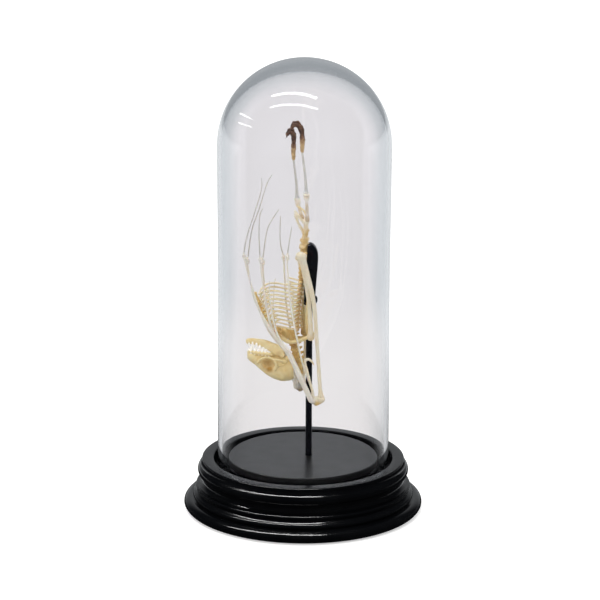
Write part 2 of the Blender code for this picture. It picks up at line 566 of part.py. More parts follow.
def make_wing(side_name, limbs, parts, bone):
    side = -1 if limbs["hip"][1] < 0 else 1
    places = ("shoulder", "elbow", "wrist", "carpus")
    shoulder, elbow, wrist, carpus = (Vector(limbs[place]) for place in places)

    collar = [(-11.6, side * 3.1, 78.6), (-6.0, side * 4.9, 76.2), (-0.6, side * 5.4, shoulder.z - 1.8)]
    joined(f"{side_name}_clavicle", [tube(collar, [0.6, 0.5, 0.6], parts, spans=3)], parts, bone)

    socket = Vector((shoulder.x - 1.1, side * 4.6, shoulder.z + 1.2))
    blade_tip = socket + Vector((-0.3, 0, 15.0))
    blade = [socket, socket + Vector((0.4, 0, 4.0)), socket + Vector((0.1, 0, 9.0)), blade_tip]
    shapes = [tube(blade, [0.9, 0.55, 0.5, 0.35], parts)]
    flange = [socket + Vector((0.2, side * 0.9, 2.6)), socket + Vector((0.0, side * 1.0, 8.0)), blade_tip]
    shapes.append(tube(flange, [0.4, 0.4, 0.3], parts))
    joined(f"{side_name}_scapula", shapes, parts, bone)

    shaft = tube([shoulder, *limbs["humerus"], elbow], [1.1, 0.85, 0.75, 0.75, 0.75, 0.9], parts, 1, 8)
    head = knob(shoulder, (1.45, 1.2, 1.5), parts)
    end = knob(elbow, (1.3, 0.95, 1.2), parts)
    joined(f"{side_name}_humerus", [shaft, head, end], parts, bone)

    top = Vector((elbow.x + 0.4, side * 9.8, elbow.z + 0.2))
    shaft = tube([top, *limbs["forearm"], wrist], [1.1, 0.85, 0.8, 0.8, 0.8, 0.75, 0.75, 0.8], parts, 1, 8)
    end = knob(wrist + Vector((0, 0, -0.3)), (1.1, 1.0, 0.8), parts)
    joined(f"{side_name}_radius", [shaft, end, knob(top, (1.35, 0.95, 1.25), parts)], parts, bone)

    block = knob(carpus, (2.5, 1.7, 1.9), parts, 2, 20)
    lump = knob(carpus + Vector((1.5, 0, 0.7)), (1.5, 1.5, 1.3), parts)
    joined(f"{side_name}_carpus", [block, lump], parts, bone)

    claw = tube(limbs["thumb"], [0.5, 0.4, 0.4, 0.6, 0.45, 0.15], parts)
    joined(f"{side_name}_thumb", [claw], parts, bone)
    finger = tube(limbs["digit_2"], [0.4, 0.35, 0.3, 0.22, 0.18], parts, spans=1)
    joined(f"{side_name}_digit_2", [finger], parts, bone)
    for number, root in ((3, 0.55), (4, 0.5), (5, 0.5)):
        metacarpal = limbs[f"digit_{number}"]
        tip = limbs[f"digit_{number}_tip"]
        shapes = [tube([*metacarpal, tip[0]], [root, 0.45, 0.4, 0.35, 0.3, 0.3], parts, spans=1)]
        shapes.append(knob(Vector(metacarpal[-1]).lerp(Vector(tip[0]), 0.5), (0.7, 0.6, 0.75), parts))
        shapes.append(tube(tip, [0.27, 0.24, 0.2, 0.16], parts, spans=1))
        joined(f"{side_name}_digit_{number}", shapes, parts, bone)


def main():
    clear_scene()
    parts = new_collection(OBJECT_NAME)
    cutters = new_collection("cutters")
    wood = new_material("black_lacquer", (0.012, 0.012, 0.014), 0.22)
    satin = new_material("satin_black", (0.03, 0.03, 0.032), 0.45)
    felt = new_material("black_felt", (0.02, 0.02, 0.02), 0.95)
    glass = new_material("clear_glass", (0.98, 1.0, 0.99), 0.0, transmission=1.0)
    metal = new_material("black_painted_steel", (0.02, 0.02, 0.024), 0.5)
    steel = new_material("zinc_steel", (0.6, 0.6, 0.62), 0.35, metallic=1.0)
    bone = new_material("dry_bone", (0.82, 0.7, 0.46), 0.55)
    skin = new_material("dried_skin", (0.09, 0.04, 0.025), 0.6)

    make_base(parts, cutters, wood, felt, satin)
    make_dome(parts, glass)
    make_stand(parts, cutters, metal, steel)
    make_chest(parts, bone)
    make_spine_ends(parts, bone)
    make_pelvis(parts, bone)
    make_skull(parts, bone)
    for side_name, limbs in (("right", RIGHT_LIMBS), ("left", LEFT_LIMBS)):
        make_leg(side_name, limbs, parts, bone, skin)
        make_wing(side_name, limbs, parts, bone)


main()
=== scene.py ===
import math

import bmesh
import bpy
from mathutils import Euler, Matrix, Vector, noise


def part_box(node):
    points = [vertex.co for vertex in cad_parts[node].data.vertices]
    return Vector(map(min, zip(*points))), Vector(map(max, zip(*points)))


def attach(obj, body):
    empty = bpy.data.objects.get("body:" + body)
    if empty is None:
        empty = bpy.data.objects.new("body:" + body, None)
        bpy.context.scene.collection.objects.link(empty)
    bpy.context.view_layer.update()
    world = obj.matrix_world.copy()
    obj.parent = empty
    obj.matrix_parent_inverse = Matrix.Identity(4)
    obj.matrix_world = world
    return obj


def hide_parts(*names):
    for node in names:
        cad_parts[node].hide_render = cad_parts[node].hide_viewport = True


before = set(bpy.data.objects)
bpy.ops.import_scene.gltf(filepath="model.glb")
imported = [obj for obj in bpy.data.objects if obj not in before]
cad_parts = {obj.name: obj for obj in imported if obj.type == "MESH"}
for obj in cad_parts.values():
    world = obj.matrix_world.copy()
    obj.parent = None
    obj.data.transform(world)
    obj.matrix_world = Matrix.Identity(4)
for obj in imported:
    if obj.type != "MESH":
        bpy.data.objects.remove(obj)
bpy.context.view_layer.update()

# Lengths are in millimetres and pass through MM where they enter a mesh. The studio's are in metres.
MM = 0.001
BONE_VOXEL, FINGER_VOXEL = 0.13, 0.09
SEGMENTS = 192


def in_mm(corners):
    return [corner / MM for corner in corners]


dome_low, dome_high = in_mm(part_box("glass_dome"))
base_low, base_high = in_mm(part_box("turned_base"))
floor_low, floor_high = in_mm(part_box("display_floor"))
felt_low, felt_high = in_mm(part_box("base_felt"))
rod_low, rod_high = in_mm(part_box("support_rod"))
ROD_X = (rod_low.x + rod_high.x) / 2
ROD_R = (rod_high.x - rod_low.x) / 2
ROD_HOLE_R = ROD_R + 0.3


# ---- materials

class Shader:
    """A material with one Principled BSDF, and short names for the nodes that feed it."""

    def __init__(self, name, roughness=0.5, metallic=0.0):
        self.material = bpy.data.materials.new(name)
        self.material.use_nodes = True
        self.tree = self.material.node_tree
        self.main = self.tree.nodes["Principled BSDF"]
        self.set("Roughness", roughness)
        self.set("Metallic", metallic)

    def add(self, kind, **settings):
        node = self.tree.nodes.new(f"ShaderNode{kind}")
        for key, value in settings.items():
            setattr(node, key, value)
        return node

    def link(self, source, target):
        self.tree.links.new(source, target)

    def set(self, socket, value):
        self.main.inputs[socket].default_value = value

    def place(self, stretch=(1, 1, 1)):
        """Object coordinates, stretched by a scale along each axis."""
        mapping = self.add("Mapping")
        mapping.inputs["Scale"].default_value = stretch
        self.link(self.add("TexCoord").outputs["Object"], mapping.inputs["Vector"])
        return mapping.outputs["Vector"]

    def noise(self, per_metre, detail=3.0, stretch=(1, 1, 1), rough=0.5):
        node = self.add("TexNoise")
        node.inputs["Scale"].default_value = per_metre
        node.inputs["Detail"].default_value = detail
        node.inputs["Roughness"].default_value = rough
        self.link(self.place(stretch), node.inputs["Vector"])
        return node.outputs["Fac"]

    def ramp(self, source, *stops):
        """A colour ramp through (place, colour) stops. A colour is three numbers, or one for grey."""
        node = self.add("ValToRGB")
        elements = node.color_ramp.elements
        while len(elements) < len(stops):
            elements.new(0.5)
        for element, (place, colour) in zip(elements, stops):
            element.position = place
            element.color = (*colour, 1) if isinstance(colour, tuple) else (colour, colour, colour, 1)
        self.link(source, node.inputs["Fac"])
        return node.outputs["Color"]

    def mix(self, factor, first, second, blend="MIX"):
        """Mixes two colours. The factor and each colour are an output or a plain value."""
        node = self.add("Mix", data_type="RGBA", blend_type=blend)
        for number, value in ((0, factor), (6, first), (7, second)):
            socket = node.inputs[number]
            if isinstance(value, (int, float)):
                socket.default_value = value
            elif isinstance(value, tuple):
                socket.default_value = (*value, 1)
            else:
                self.link(value, socket)
        return node.outputs[2]

    def bump(self, source, height_mm, strength=1.0):
        node = self.add("Bump")
        node.inputs["Distance"].default_value = height_mm * MM
        node.inputs["Strength"].default_value = strength
        self.link(source, node.inputs["Height"])
        self.link(node.outputs["Normal"], self.main.inputs["Normal"])

    def colour(self, source):
        self.link(source, self.main.inputs["Base Color"])

    def roughness(self, source):
        self.link(source, self.main.inputs["Roughness"])


def mix_shaders(tree, share, first, second):
    """A mix of two shaders. A share of 0 gives the first, and 1 the second."""
    both = tree.nodes.new("ShaderNodeMixShader")
    for number, source in enumerate((share, first, second)):
        tree.links.new(source, both.inputs[number])
    return both.outputs["Shader"]


def make_lacquer():
    """Gloss black lacquer on turned wood, with the slow waves of a brushed coat."""
    s = Shader("black_lacquer_fine")
    s.colour(s.ramp(s.noise(60, 4), (0.3, (0.0005, 0.0006, 0.0009)), (0.8, (0.0018, 0.002, 0.0024))))
    s.roughness(s.ramp(s.noise(130, 5), (0.35, 0.1), (0.7, 0.19)))
    waves = s.mix(0.3, s.noise(90, 2, (1, 1, 2.5)), s.noise(1500, 3, (1, 1, 0.6)))
    s.bump(waves, 0.13, 0.6)
    return s.material


def make_satin():
    """Satin black paint on the display floor."""
    s = Shader("satin_black_fine")
    s.colour(s.ramp(s.noise(45, 5), (0.3, (0.004, 0.0044, 0.005)), (0.75, (0.007, 0.0075, 0.008))))
    s.roughness(s.ramp(s.noise(160, 4), (0.3, 0.28), (0.7, 0.34)))
    s.set("Specular IOR Level", 0.9)
    s.set("IOR", 1.65)
    s.bump(s.noise(3200, 2), 0.006, 0.4)
    return s.material


def make_felt():
    s = Shader("black_felt_fine", 0.95)
    fibres = s.noise(1800, 6, (1, 1, 4), 0.7)
    s.colour(s.ramp(fibres, (0.3, (0.006, 0.006, 0.006)), (0.75, (0.045, 0.045, 0.047))))
    s.set("Sheen Weight", 0.3)
    s.bump(fibres, 0.15)
    return s.material


def make_black_paint():
    """Thin black paint on the stand."""
    s = Shader("black_paint_fine")
    s.colour(s.ramp(s.noise(300, 4), (0.3, (0.003, 0.0035, 0.006)), (0.8, (0.009, 0.0095, 0.013))))
    s.roughness(s.ramp(s.noise(500, 3), (0.3, 0.26), (0.7, 0.4)))
    s.set("Specular IOR Level", 0.2)
    s.bump(s.noise(1500, 3), 0.03, 0.5)
    return s.material


def make_zinc():
    s = Shader("zinc_steel_fine", 0.35, 1.0)
    s.colour(s.ramp(s.noise(900, 4), (0.3, (0.42, 0.42, 0.43)), (0.7, (0.66, 0.66, 0.68))))
    s.roughness(s.ramp(s.noise(1500, 3), (0.3, 0.25), (0.7, 0.45)))
    return s.material


def make_glass():
    """Clear blown glass. Its colour holds painted shade for the room seen in it: faintly darker above its
    foot, faintly lilac at its top, and grey at its upper sides. Lamps shine through it.
    """
    s = Shader("clear_glass_fine", 0.0)
    height = s.add("SeparateXYZ")
    s.link(s.place(), height.inputs[0])
    span = s.add("MapRange")
    span.inputs["From Min"].default_value = 0.03
    span.inputs["From Max"].default_value = 0.2
    s.link(height.outputs["Z"], span.inputs["Value"])
    # Painted shade by height, where the glass itself is clear.
    low, high, top = (0.965, 0.953, 0.957), (0.92, 0.912, 0.925), (0.93, 0.918, 0.935)
    painted_room_shade = s.ramp(span.outputs["Result"], (0.26, low), (0.4, high), (1.0, top))
    # Painted shade at the grazing edges, darker on the upper part of the dome.
    edge = s.add("LayerWeight").outputs["Facing"]
    rise = s.ramp(span.outputs["Result"], (0.26, 0.0), (0.42, 1.0))
    side = s.mix(rise, (0.9, 0.905, 0.915), (0.7, 0.735, 0.755))
    s.colour(s.mix(s.ramp(edge, (0.36, 0.0), (0.58, 1.0)), painted_room_shade, side))
    s.set("Transmission Weight", 1.0)
    s.set("IOR", 1.48)
    clear = s.add("BsdfTransparent")
    clear.inputs["Color"].default_value = (0.94, 0.94, 0.94, 1)
    shadow = s.add("LightPath").outputs["Is Shadow Ray"]
    either = mix_shaders(s.tree, shadow, s.main.outputs["BSDF"], clear.outputs["BSDF"])
    s.link(either, s.tree.nodes["Material Output"].inputs["Surface"])
    return s.material


def make_bone(name, light, dark, stain, glow=0.12, painted_glow=0.0):
    """Dry bone: light and dark patches, and a stain colour where the piece's own stain attribute is high,
    which in places is painted shade. painted_glow sets a painted glow in the light colour.
    """
    s = Shader(name)
    patches = s.ramp(s.noise(260, 4, rough=0.6), (0.38, 0.0), (0.72, 1.0))
    base = s.mix(patches, light, dark)
    mark = s.add("Attribute", attribute_name="stain")
    broken = s.mix(0.55, mark.outputs["Color"], s.noise(900, 4), "MULTIPLY")
    amount = s.ramp(broken, (0.12, 0.0), (0.62, 1.0))
    base = s.mix(amount, base, stain)
    specks = s.ramp(s.noise(4200, 2), (0.3, 0.86), (0.6, 1.0))
    s.colour(s.mix(1.0, base, specks, "MULTIPLY"))
    s.roughness(s.ramp(s.noise(700, 3), (0.3, 0.38), (0.7, 0.6)))
    s.set("Subsurface Weight", glow)
    s.set("Subsurface Radius", (1.0, 0.7, 0.4))
    s.set("Subsurface Scale", 0.6 * MM)
    # Painted glow: emission in the bone's light colour, used only by the teeth, makes them brighter than
    # their light allows.
    s.set("Emission Color", (*light, 1))
    s.set("Emission Strength", painted_glow)
    s.bump(s.noise(3000, 4), 0.06, 0.6)
    return s.material


def make_skin():
    """Dried skin of the feet: almost black at the toes, and tan over the ankle."""
    s = Shader("dried_skin_fine")
    mark = s.add("Attribute", attribute_name="stain")
    tone = s.mix(0.5, mark.outputs["Color"], s.noise(900, 4), "LINEAR_LIGHT")
    tan, brown, black = (0.6, 0.41, 0.2), (0.21, 0.1, 0.045), (0.06, 0.026, 0.018)
    s.colour(s.ramp(tone, (0.1, tan), (0.4, brown), (0.9, black)))
    s.roughness(s.ramp(s.noise(900, 3), (0.3, 0.4), (0.7, 0.7)))
    s.bump(s.noise(2400, 4, (1, 1, 0.5)), 0.12)
    return s.material


LACQUER, SATIN, FELT = make_lacquer(), make_satin(), make_felt()
PAINT, ZINC, GLASS, SKIN = make_black_paint(), make_zinc(), make_glass(), make_skin()
IVORY = make_bone("bone_ivory", (0.98, 0.84, 0.48), (0.9, 0.68, 0.3), (0.55, 0.31, 0.07))
RIB = make_bone("bone_rib", (0.98, 0.88, 0.62), (0.93, 0.78, 0.46), (0.86, 0.6, 0.27), 0.25)
AMBER = make_bone("bone_amber", (0.92, 0.7, 0.32), (0.78, 0.5, 0.17), (0.38, 0.17, 0.05))
PALE = make_bone("bone_pale", (0.98, 0.91, 0.72), (0.94, 0.82, 0.57), (0.84, 0.6, 0.26))
FINGER = make_bone("bone_finger", (0.97, 0.94, 0.85), (0.89, 0.84, 0.71), (0.62, 0.47, 0.3), 0.25)
GREY = make_bone("bone_grey", (0.69, 0.68, 0.64), (0.58, 0.57, 0.52), (0.5, 0.4, 0.25), 0.25)
# The teeth carry a painted glow.
TOOTH = make_bone("tooth_white", (1.0, 0.98, 0.92), (0.98, 0.94, 0.84), (0.75, 0.6, 0.35), painted_glow=0.22)


# ---- mesh helpers

def place_new(name, data):
    """A new object for a mesh, a lamp or a camera."""
    obj = bpy.data.objects.new(name, data)
    bpy.context.scene.collection.objects.link(obj)
    return obj


def object_of(name, work, material, sharp=40.0):
    """A new object from a bmesh in millimetres."""
    mesh = bpy.data.meshes.new(name)
    bmesh.ops.recalc_face_normals(work, faces=work.faces)
    work.to_mesh(mesh)
    work.free()
    mesh.transform(Matrix.Scale(MM, 4))
    return show(name, mesh, material, sharp)


def show(name, mesh, material, sharp=40.0):
    mesh.materials.clear()
    mesh.materials.append(material)
    mesh.shade_smooth()
    mesh.set_sharp_from_angle(angle=math.radians(sharp))
    return place_new(name, mesh)


def stands_for(obj, body, slot, *nodes):
    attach(obj, body)
    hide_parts(*nodes)
    return obj


def evaluated_mesh(obj):
    bpy.context.view_layer.update()
    return bpy.data.meshes.new_from_object(obj.evaluated_get(bpy.context.evaluated_depsgraph_get()))


def drop(obj):
    mesh = obj.data
    bpy.data.objects.remove(obj, do_unlink=True)
    bpy.data.meshes.remove(mesh)


def arc(centre, radii, start, end, steps):
    """Points on an ellipse's arc in the (radius, height) plane, at angles in degrees."""
    points = []
    for step in range(steps + 1):
        angle = math.radians(start + (end - start) * step / steps)
        points.append((centre[0] + radii[0] * math.cos(angle), centre[1] + radii[1] * math.sin(angle)))
    return points


def circle(count):
    """The cosine and the sine, c and s, of angles spread evenly round a circle."""
    angles = [math.tau * step / count for step in range(count)]
    return [(math.cos(angle), math.sin(angle)) for angle in angles]


def add_ring(work, spots):
    return [work.verts.new(spot) for spot in spots]


def skin_rings(work, rings):
    """Joins rings of vertices, in order, with side faces."""
    for low, high in zip(rings, rings[1:]):
        for step in range(len(low)):
            after = (step + 1) % len(low)
            work.faces.new((low[step], low[after], high[after], high[step]))


def cap_ends(work, rings):
    work.faces.new(rings[0])
    work.faces.new(list(reversed(rings[-1])))


def turned(name, profile, material, segments=SEGMENTS, at_x=0.0):
    """A turned piece from (radius, height) points. The first and last point lie on the axis."""
    work = bmesh.new()
    rings = []
    for radius, height in profile[1:-1]:
        spots = [(at_x + radius * c, radius * s, height) for c, s in circle(segments)]
        rings.append(add_ring(work, spots))
    skin_rings(work, rings)
    for end in (0, -1):
        pole, ring = work.verts.new((at_x, 0, profile[end][1])), rings[end]
        for step in range(segments):
            work.faces.new((pole, ring[step], ring[(step + 1) % segments]))
    return object_of(name, work, material, 35)


def vectors(*points):
    return [Vector(point) for point in points]


def smooth_values(points, spans):
    """A Catmull-Rom curve through vectors or numbers, with this many steps between each two."""
    ends = [2 * points[0] - points[1], *points, 2 * points[-1] - points[-2]]
    route = []
    for i in range(len(points) - 1):
        a, b, c, d = ends[i : i + 4]
        for step in range(spans):
            t = step / spans
            bend = 0.5 * (2 * b + (c - a) * t + (2 * a - 5 * b + 4 * c - d) * t**2)
            route.append(bend + 0.5 * (3 * b - a - 3 * c + d) * t**3)
    return [*route, points[-1]]


def rod(work, points, radii, sides=12, spans=6, flat=1.0, flat_axis=None):
    """Adds a rod with round ends along a smooth route, with its radii spread evenly along it. flat is its
    radius along flat_axis as a share of the radius across it."""
    points = vectors(*points)
    if len(points) == 2:
        points = [points[0], points[0].lerp(points[1], 0.5), points[1]]
    route = smooth_values(points, spans)
    count = len(route)
    widths = []
    for i in range(count):
        place = i / (count - 1) * (len(radii) - 1)
        low = min(int(place), len(radii) - 2)
        part = place - low
        part = part * part * (3 - 2 * part)
        widths.append(radii[low] + (radii[low + 1] - radii[low]) * part)
    first = (route[0] - route[1]).normalized()
    last = (route[-1] - route[-2]).normalized()
    stations = list(zip(route, widths))
    for angle in (0.5, 0.95, 1.35):
        out, narrow = math.sin(angle), math.cos(angle)
        stations.insert(0, (route[0] + first * widths[0] * out, widths[0] * narrow))
        stations.append((route[-1] + last * widths[-1] * out, widths[-1] * narrow))
    side = first.orthogonal().normalized() if flat_axis is None else Vector(flat_axis)
    rings = []
    for i, (place, width) in enumerate(stations):
        before, after = stations[max(i - 1, 0)][0], stations[min(i + 1, len(stations) - 1)][0]
        along = (after - before).normalized()
        side = (side - along * side.dot(along)).normalized()
        up = along.cross(side)
        spots = [place + (side * c * width * flat + up * s * width) for c, s in circle(sides)]
        rings.append(add_ring(work, spots))
    skin_rings(work, rings)
    cap_ends(work, rings)


def lump(work, centre, radii, turn=(0, 0, 0), detail=3):
    """Adds an ellipsoid, turned by Euler angles in degrees."""
    angles = Euler([math.radians(angle) for angle in turn])
    place = Matrix.Translation(Vector(centre)) @ angles.to_matrix().to_4x4()
    shape = place @ Matrix.Diagonal((*radii, 1.0))
    bmesh.ops.create_icosphere(work, subdivisions=detail, radius=1.0, matrix=shape)


def bare_object(name, work):
    """A new object straight from a bmesh, with no material."""
    mesh = bpy.data.meshes.new(name)
    work.to_mesh(mesh)
    work.free()
    return place_new(name, mesh)


def add_skin(obj, voxel):
    skin = obj.modifiers.new("skin", "REMESH")
    skin.mode = "VOXEL"
    skin.voxel_size = voxel


def add_cut(obj, cutter):
    cut = obj.modifiers.new("cut", "BOOLEAN")
    cut.operation = "DIFFERENCE"
    cut.object = cutter


def fused(work, voxel=BONE_VOXEL, smooth=4, holes=None):
    """One skin over overlapping shapes, as a mesh in millimetres. holes has shapes to cut away."""
    bmesh.ops.recalc_face_normals(work, faces=work.faces)
    obj = bare_object("fused", work)
    add_skin(obj, voxel)
    cutter = None
    if holes is not None:
        cutter = bare_object("holes", holes)
        add_cut(obj, cutter)
        add_skin(obj, voxel)
    soften = obj.modifiers.new("soften", "SMOOTH")
    soften.factor = 0.5
    soften.iterations = smooth
    made = evaluated_mesh(obj)
    drop(obj)
    if cutter:
        drop(cutter)
    return made


def roughen(mesh, per_mm, height):
    """Moves each vertex along its normal by smooth noise."""
    normals = [vertex.normal.copy() for vertex in mesh.vertices]
    for vertex, normal in zip(mesh.vertices, normals):
        vertex.co += normal * noise.noise(vertex.co * per_mm) * height


def stain_and_shade_near(mesh, spots):
    """Fills the stain attribute from (centre, reach, strength) spots, in millimetres: real stains, and in
    a few places painted shade. A spot fades out within three times its reach."""
    attribute = mesh.attributes.new("stain", "FLOAT", "POINT")
    for vertex, entry in zip(mesh.vertices, attribute.data):
        amount = 0.0
        for centre, reach, strength in spots:
            away = (vertex.co - centre).length_squared / (reach * reach)
            if away < 3**2:
                amount = max(amount, strength * math.exp(-away))
        entry.value = amount


def bone(node, mesh, material, spots=(), rough=0.05, coarse=(1, 0), slot="dry_bone", name=None):
    """Finishes a bone's mesh in millimetres as a piece for a CAD node. rough is the height of its fine
    lumps. coarse is the count per millimetre and the height of its coarse ones."""
    roughen(mesh, *coarse)
    roughen(mesh, 1.3, rough)
    stain_and_shade_near(mesh, [(Vector(centre), reach, strength) for centre, reach, strength in spots])
    mesh.transform(Matrix.Scale(MM, 4))
    return stands_for(show(name or f"{node}_fine", mesh, material, 60), "base", slot, node)


# ---- base, dome and stand

def cut_hole(obj, radius, low, high):
    """Cuts a round upright hole at the rod's place, from height low to high."""
    work = bmesh.new()
    place = Matrix.Translation((ROD_X, 0, (low + high) / 2))
    size = {"radius1": radius, "radius2": radius, "depth": high - low}
    bmesh.ops.create_cone(work, cap_ends=True, segments=48, matrix=place, **size)
    cutter = object_of("hole_cutter", work, PAINT)
    add_cut(obj, cutter)
    mesh = evaluated_mesh(obj)
    mesh.set_sharp_from_angle(angle=math.radians(35))
    obj.modifiers.clear()
    old, obj.data = obj.data, mesh
    bpy.data.meshes.remove(old)
    drop(cutter)


def make_base():
    """The turned base, with the CAD's profile in finer arcs."""
    foot, rim_top = base_low.z, base_high.z
    roof, plateau = felt_high.z + 0.3, floor_low.z - 0.3
    groove, foot_x = 16.5, 48.8
    # The plateau under the disc, the groove that the glass stands in, and the rim around it.
    profile = [(0, plateau), (31.6, plateau), (32.0, plateau - 0.4), (32.0, groove), (39.1, groove)]
    profile += arc((39.6, rim_top - 0.5), (0.5, 0.5), 180, 90, 5)
    profile += arc((43.7, rim_top - 0.6), (0.6, 0.6), 90, 5, 5)
    profile += [(44.35, 21.4), (44.5, 20.6), (44.75, 20.1)]
    # The upper roll and the hollow below it.
    profile += arc((43.6, 17.6), (2.55, 2.55), 60, -58, 18)
    profile += [(44.95, 15.2)]
    profile += arc((46.3, 13.9), (2.9, 2.9), 160, 258, 14)
    # Two beads and the wide roll of the foot.
    profile += arc((46.1, 10.3), (0.9, 0.9), 80, -42, 10)
    profile += [(46.65, 8.8), (47.05, 8.3)]
    profile += arc((47.0, 6.75), (1.4, 1.4), 68, -50, 12)
    profile += arc((foot_x, 2.8), (base_high.x - foot_x, 2.6), 95, -88, 22)
    profile += [(45.5, foot), (45.5, roof), (0, roof)]
    base = turned("turned_base_fine", profile, LACQUER)
    nut_pocket_r, nut_pocket_top = 6.0, 8.0
    cut_hole(base, nut_pocket_r, roof - 2, nut_pocket_top)
    cut_hole(base, ROD_HOLE_R, nut_pocket_top - 2, plateau + 2)
    stands_for(base, "base", "black_lacquer", "turned_base")


def make_floor():
    """The raised satin disc, with a soft edge."""
    radius, low, high = floor_high.x, floor_low.z, floor_high.z
    edge = 0.5
    profile = [(0, high), (radius - edge - 0.1, high)]
    profile += arc((radius - edge, high - edge), (edge, edge), 88, 0, 10)
    profile += [(radius, low + 0.3), (radius - 0.3, low), (0, low)]
    disc = turned("display_floor_fine", profile, SATIN)
    cut_hole(disc, ROD_HOLE_R, low - 2, high + 2)
    stands_for(disc, "base", "satin_black", "display_floor")


def make_pad():
    radius, low, high = felt_high.x, felt_low.z, felt_high.z
    profile = [(0, high), (radius - 0.2, high), (radius, high - 0.2), (radius, low + 0.15)]
    profile += [(radius - 0.2, low), (0, low)]
    stands_for(turned("base_felt_fine", profile, FELT), "base", "black_felt", "base_felt")


WALL, CROWN_EXTRA, WAIST = 1.8, 2.7, 0.28


def make_dome():
    """The blown dome: a slight waist, a wall that thickens towards the crown, and a rounded lip."""
    radius, mouth, crown = dome_high.x, dome_low.z, dome_high.z
    spring = crown - radius
    outside = arc((0, spring), (radius, radius), 90, 0, 30)
    outside[0] = (0, crown)
    inside_top = []
    for degrees in range(0, 91, 3):
        angle = math.radians(degrees)
        inner = radius - WALL - CROWN_EXTRA * math.sin(angle) ** 2
        inside_top.append((inner * math.cos(angle), spring + inner * math.sin(angle)))
    inside_top[-1] = (0, inside_top[-1][1])
    down, up = [], []
    steps = 24
    for step in range(1, steps):
        t = step / steps
        height = spring + (mouth + 3 - spring) * t
        waist = -WAIST * math.sin(math.pi * min(1, t * 1.15)) ** 2
        down.append((radius + waist, height))
        up.append((radius - WALL + waist, height))
    lip = arc((radius - WALL / 2, mouth + WALL / 2), (WALL / 2, WALL / 2), 0, -180, 10)
    profile = outside + down + lip + list(reversed(up)) + inside_top
    stands_for(turned("glass_dome_fine", profile, GLASS, 256), "dome", "clear_glass", "glass_dome")


def make_rod():
    low, high, edge = rod_low.z, rod_high.z, 0.3
    profile = [(0, high), (ROD_R - edge, high), (ROD_R, high - edge), (ROD_R, low + edge)]
    profile += [(ROD_R - edge, low), (0, low)]
    stick = turned("support_rod_fine", profile, PAINT, 40, at_x=ROD_X)
    stands_for(stick, "base", "black_painted_steel", "support_rod")


def make_saddle():
    """The black block that the specimen's back is tied to, round at the top and slimmer at its foot, and
    its clamp screw."""
    low, high = in_mm(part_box("specimen_saddle"))
    outline = [(1.1, 110.0), (1.3, 115.0), (1.5, 118.2), (2.0, 119.1), (3.2, 119.2), (4.5, 118.3)]
    outline += [(5.5, 116.7), (6.0, 115.0), (6.1, 112.6), (5.9, 109.0), (5.5, 104.0), (5.0, 97.0)]
    outline += [(4.8, 93.1), (4.3, 92.5), (0.6, 92.5), (0.15, 93.0), (0.1, 99.5), (0.4, 104.5)]
    closed = [Vector((x, 0, z)) for x, z in outline]
    closed = smooth_values([*closed, closed[0]], 4)[:-1]
    half = (high.y - low.y) / 2
    work = bmesh.new()
    sides = []
    for y in (-half, half):
        sides.append([work.verts.new(point + Vector((0, y, 0))) for point in closed])
    cap_ends(work, sides)
    skin_rings(work, sides)
    ends = [edge for edge in work.edges if abs(edge.verts[0].co.y - edge.verts[1].co.y) < 1e-6]
    bmesh.ops.recalc_face_normals(work, faces=work.faces)
    bmesh.ops.bevel(work, geom=ends, offset=0.9, segments=5, affect="EDGES", profile=0.5)
    saddle = object_of("specimen_saddle_fine", work, PAINT, 30)
    cut_hole(saddle, ROD_HOLE_R, low.z - 2, rod_high.z + 0.3)
    stands_for(saddle, "base", "black_painted_steel", "specimen_saddle")

    low, high = in_mm(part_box("clamp_screw"))
    knob_r, knob_half = (high.z - low.z) / 2, 0.9
    knob = Vector((high.x - knob_half, 0, (low.z + high.z) / 2))
    work = bmesh.new()
    lump(work, knob, (knob_half, knob_r, knob_r), detail=4)
    rod(work, [(low.x + 0.3, 0, knob.z), knob], [0.55, 0.55], 16, 2)
    screw = object_of("clamp_screw_fine", work, PAINT)
    stands_for(screw, "base", "black_painted_steel", "clamp_screw")


make_base()
make_floor()
make_pad()
make_dome()
make_rod()
make_saddle()
for node in ("rod_nut", "rod_washer"):
    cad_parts[node].data.materials.clear()
    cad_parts[node].data.materials.append(ZINC)


# ---- skeleton

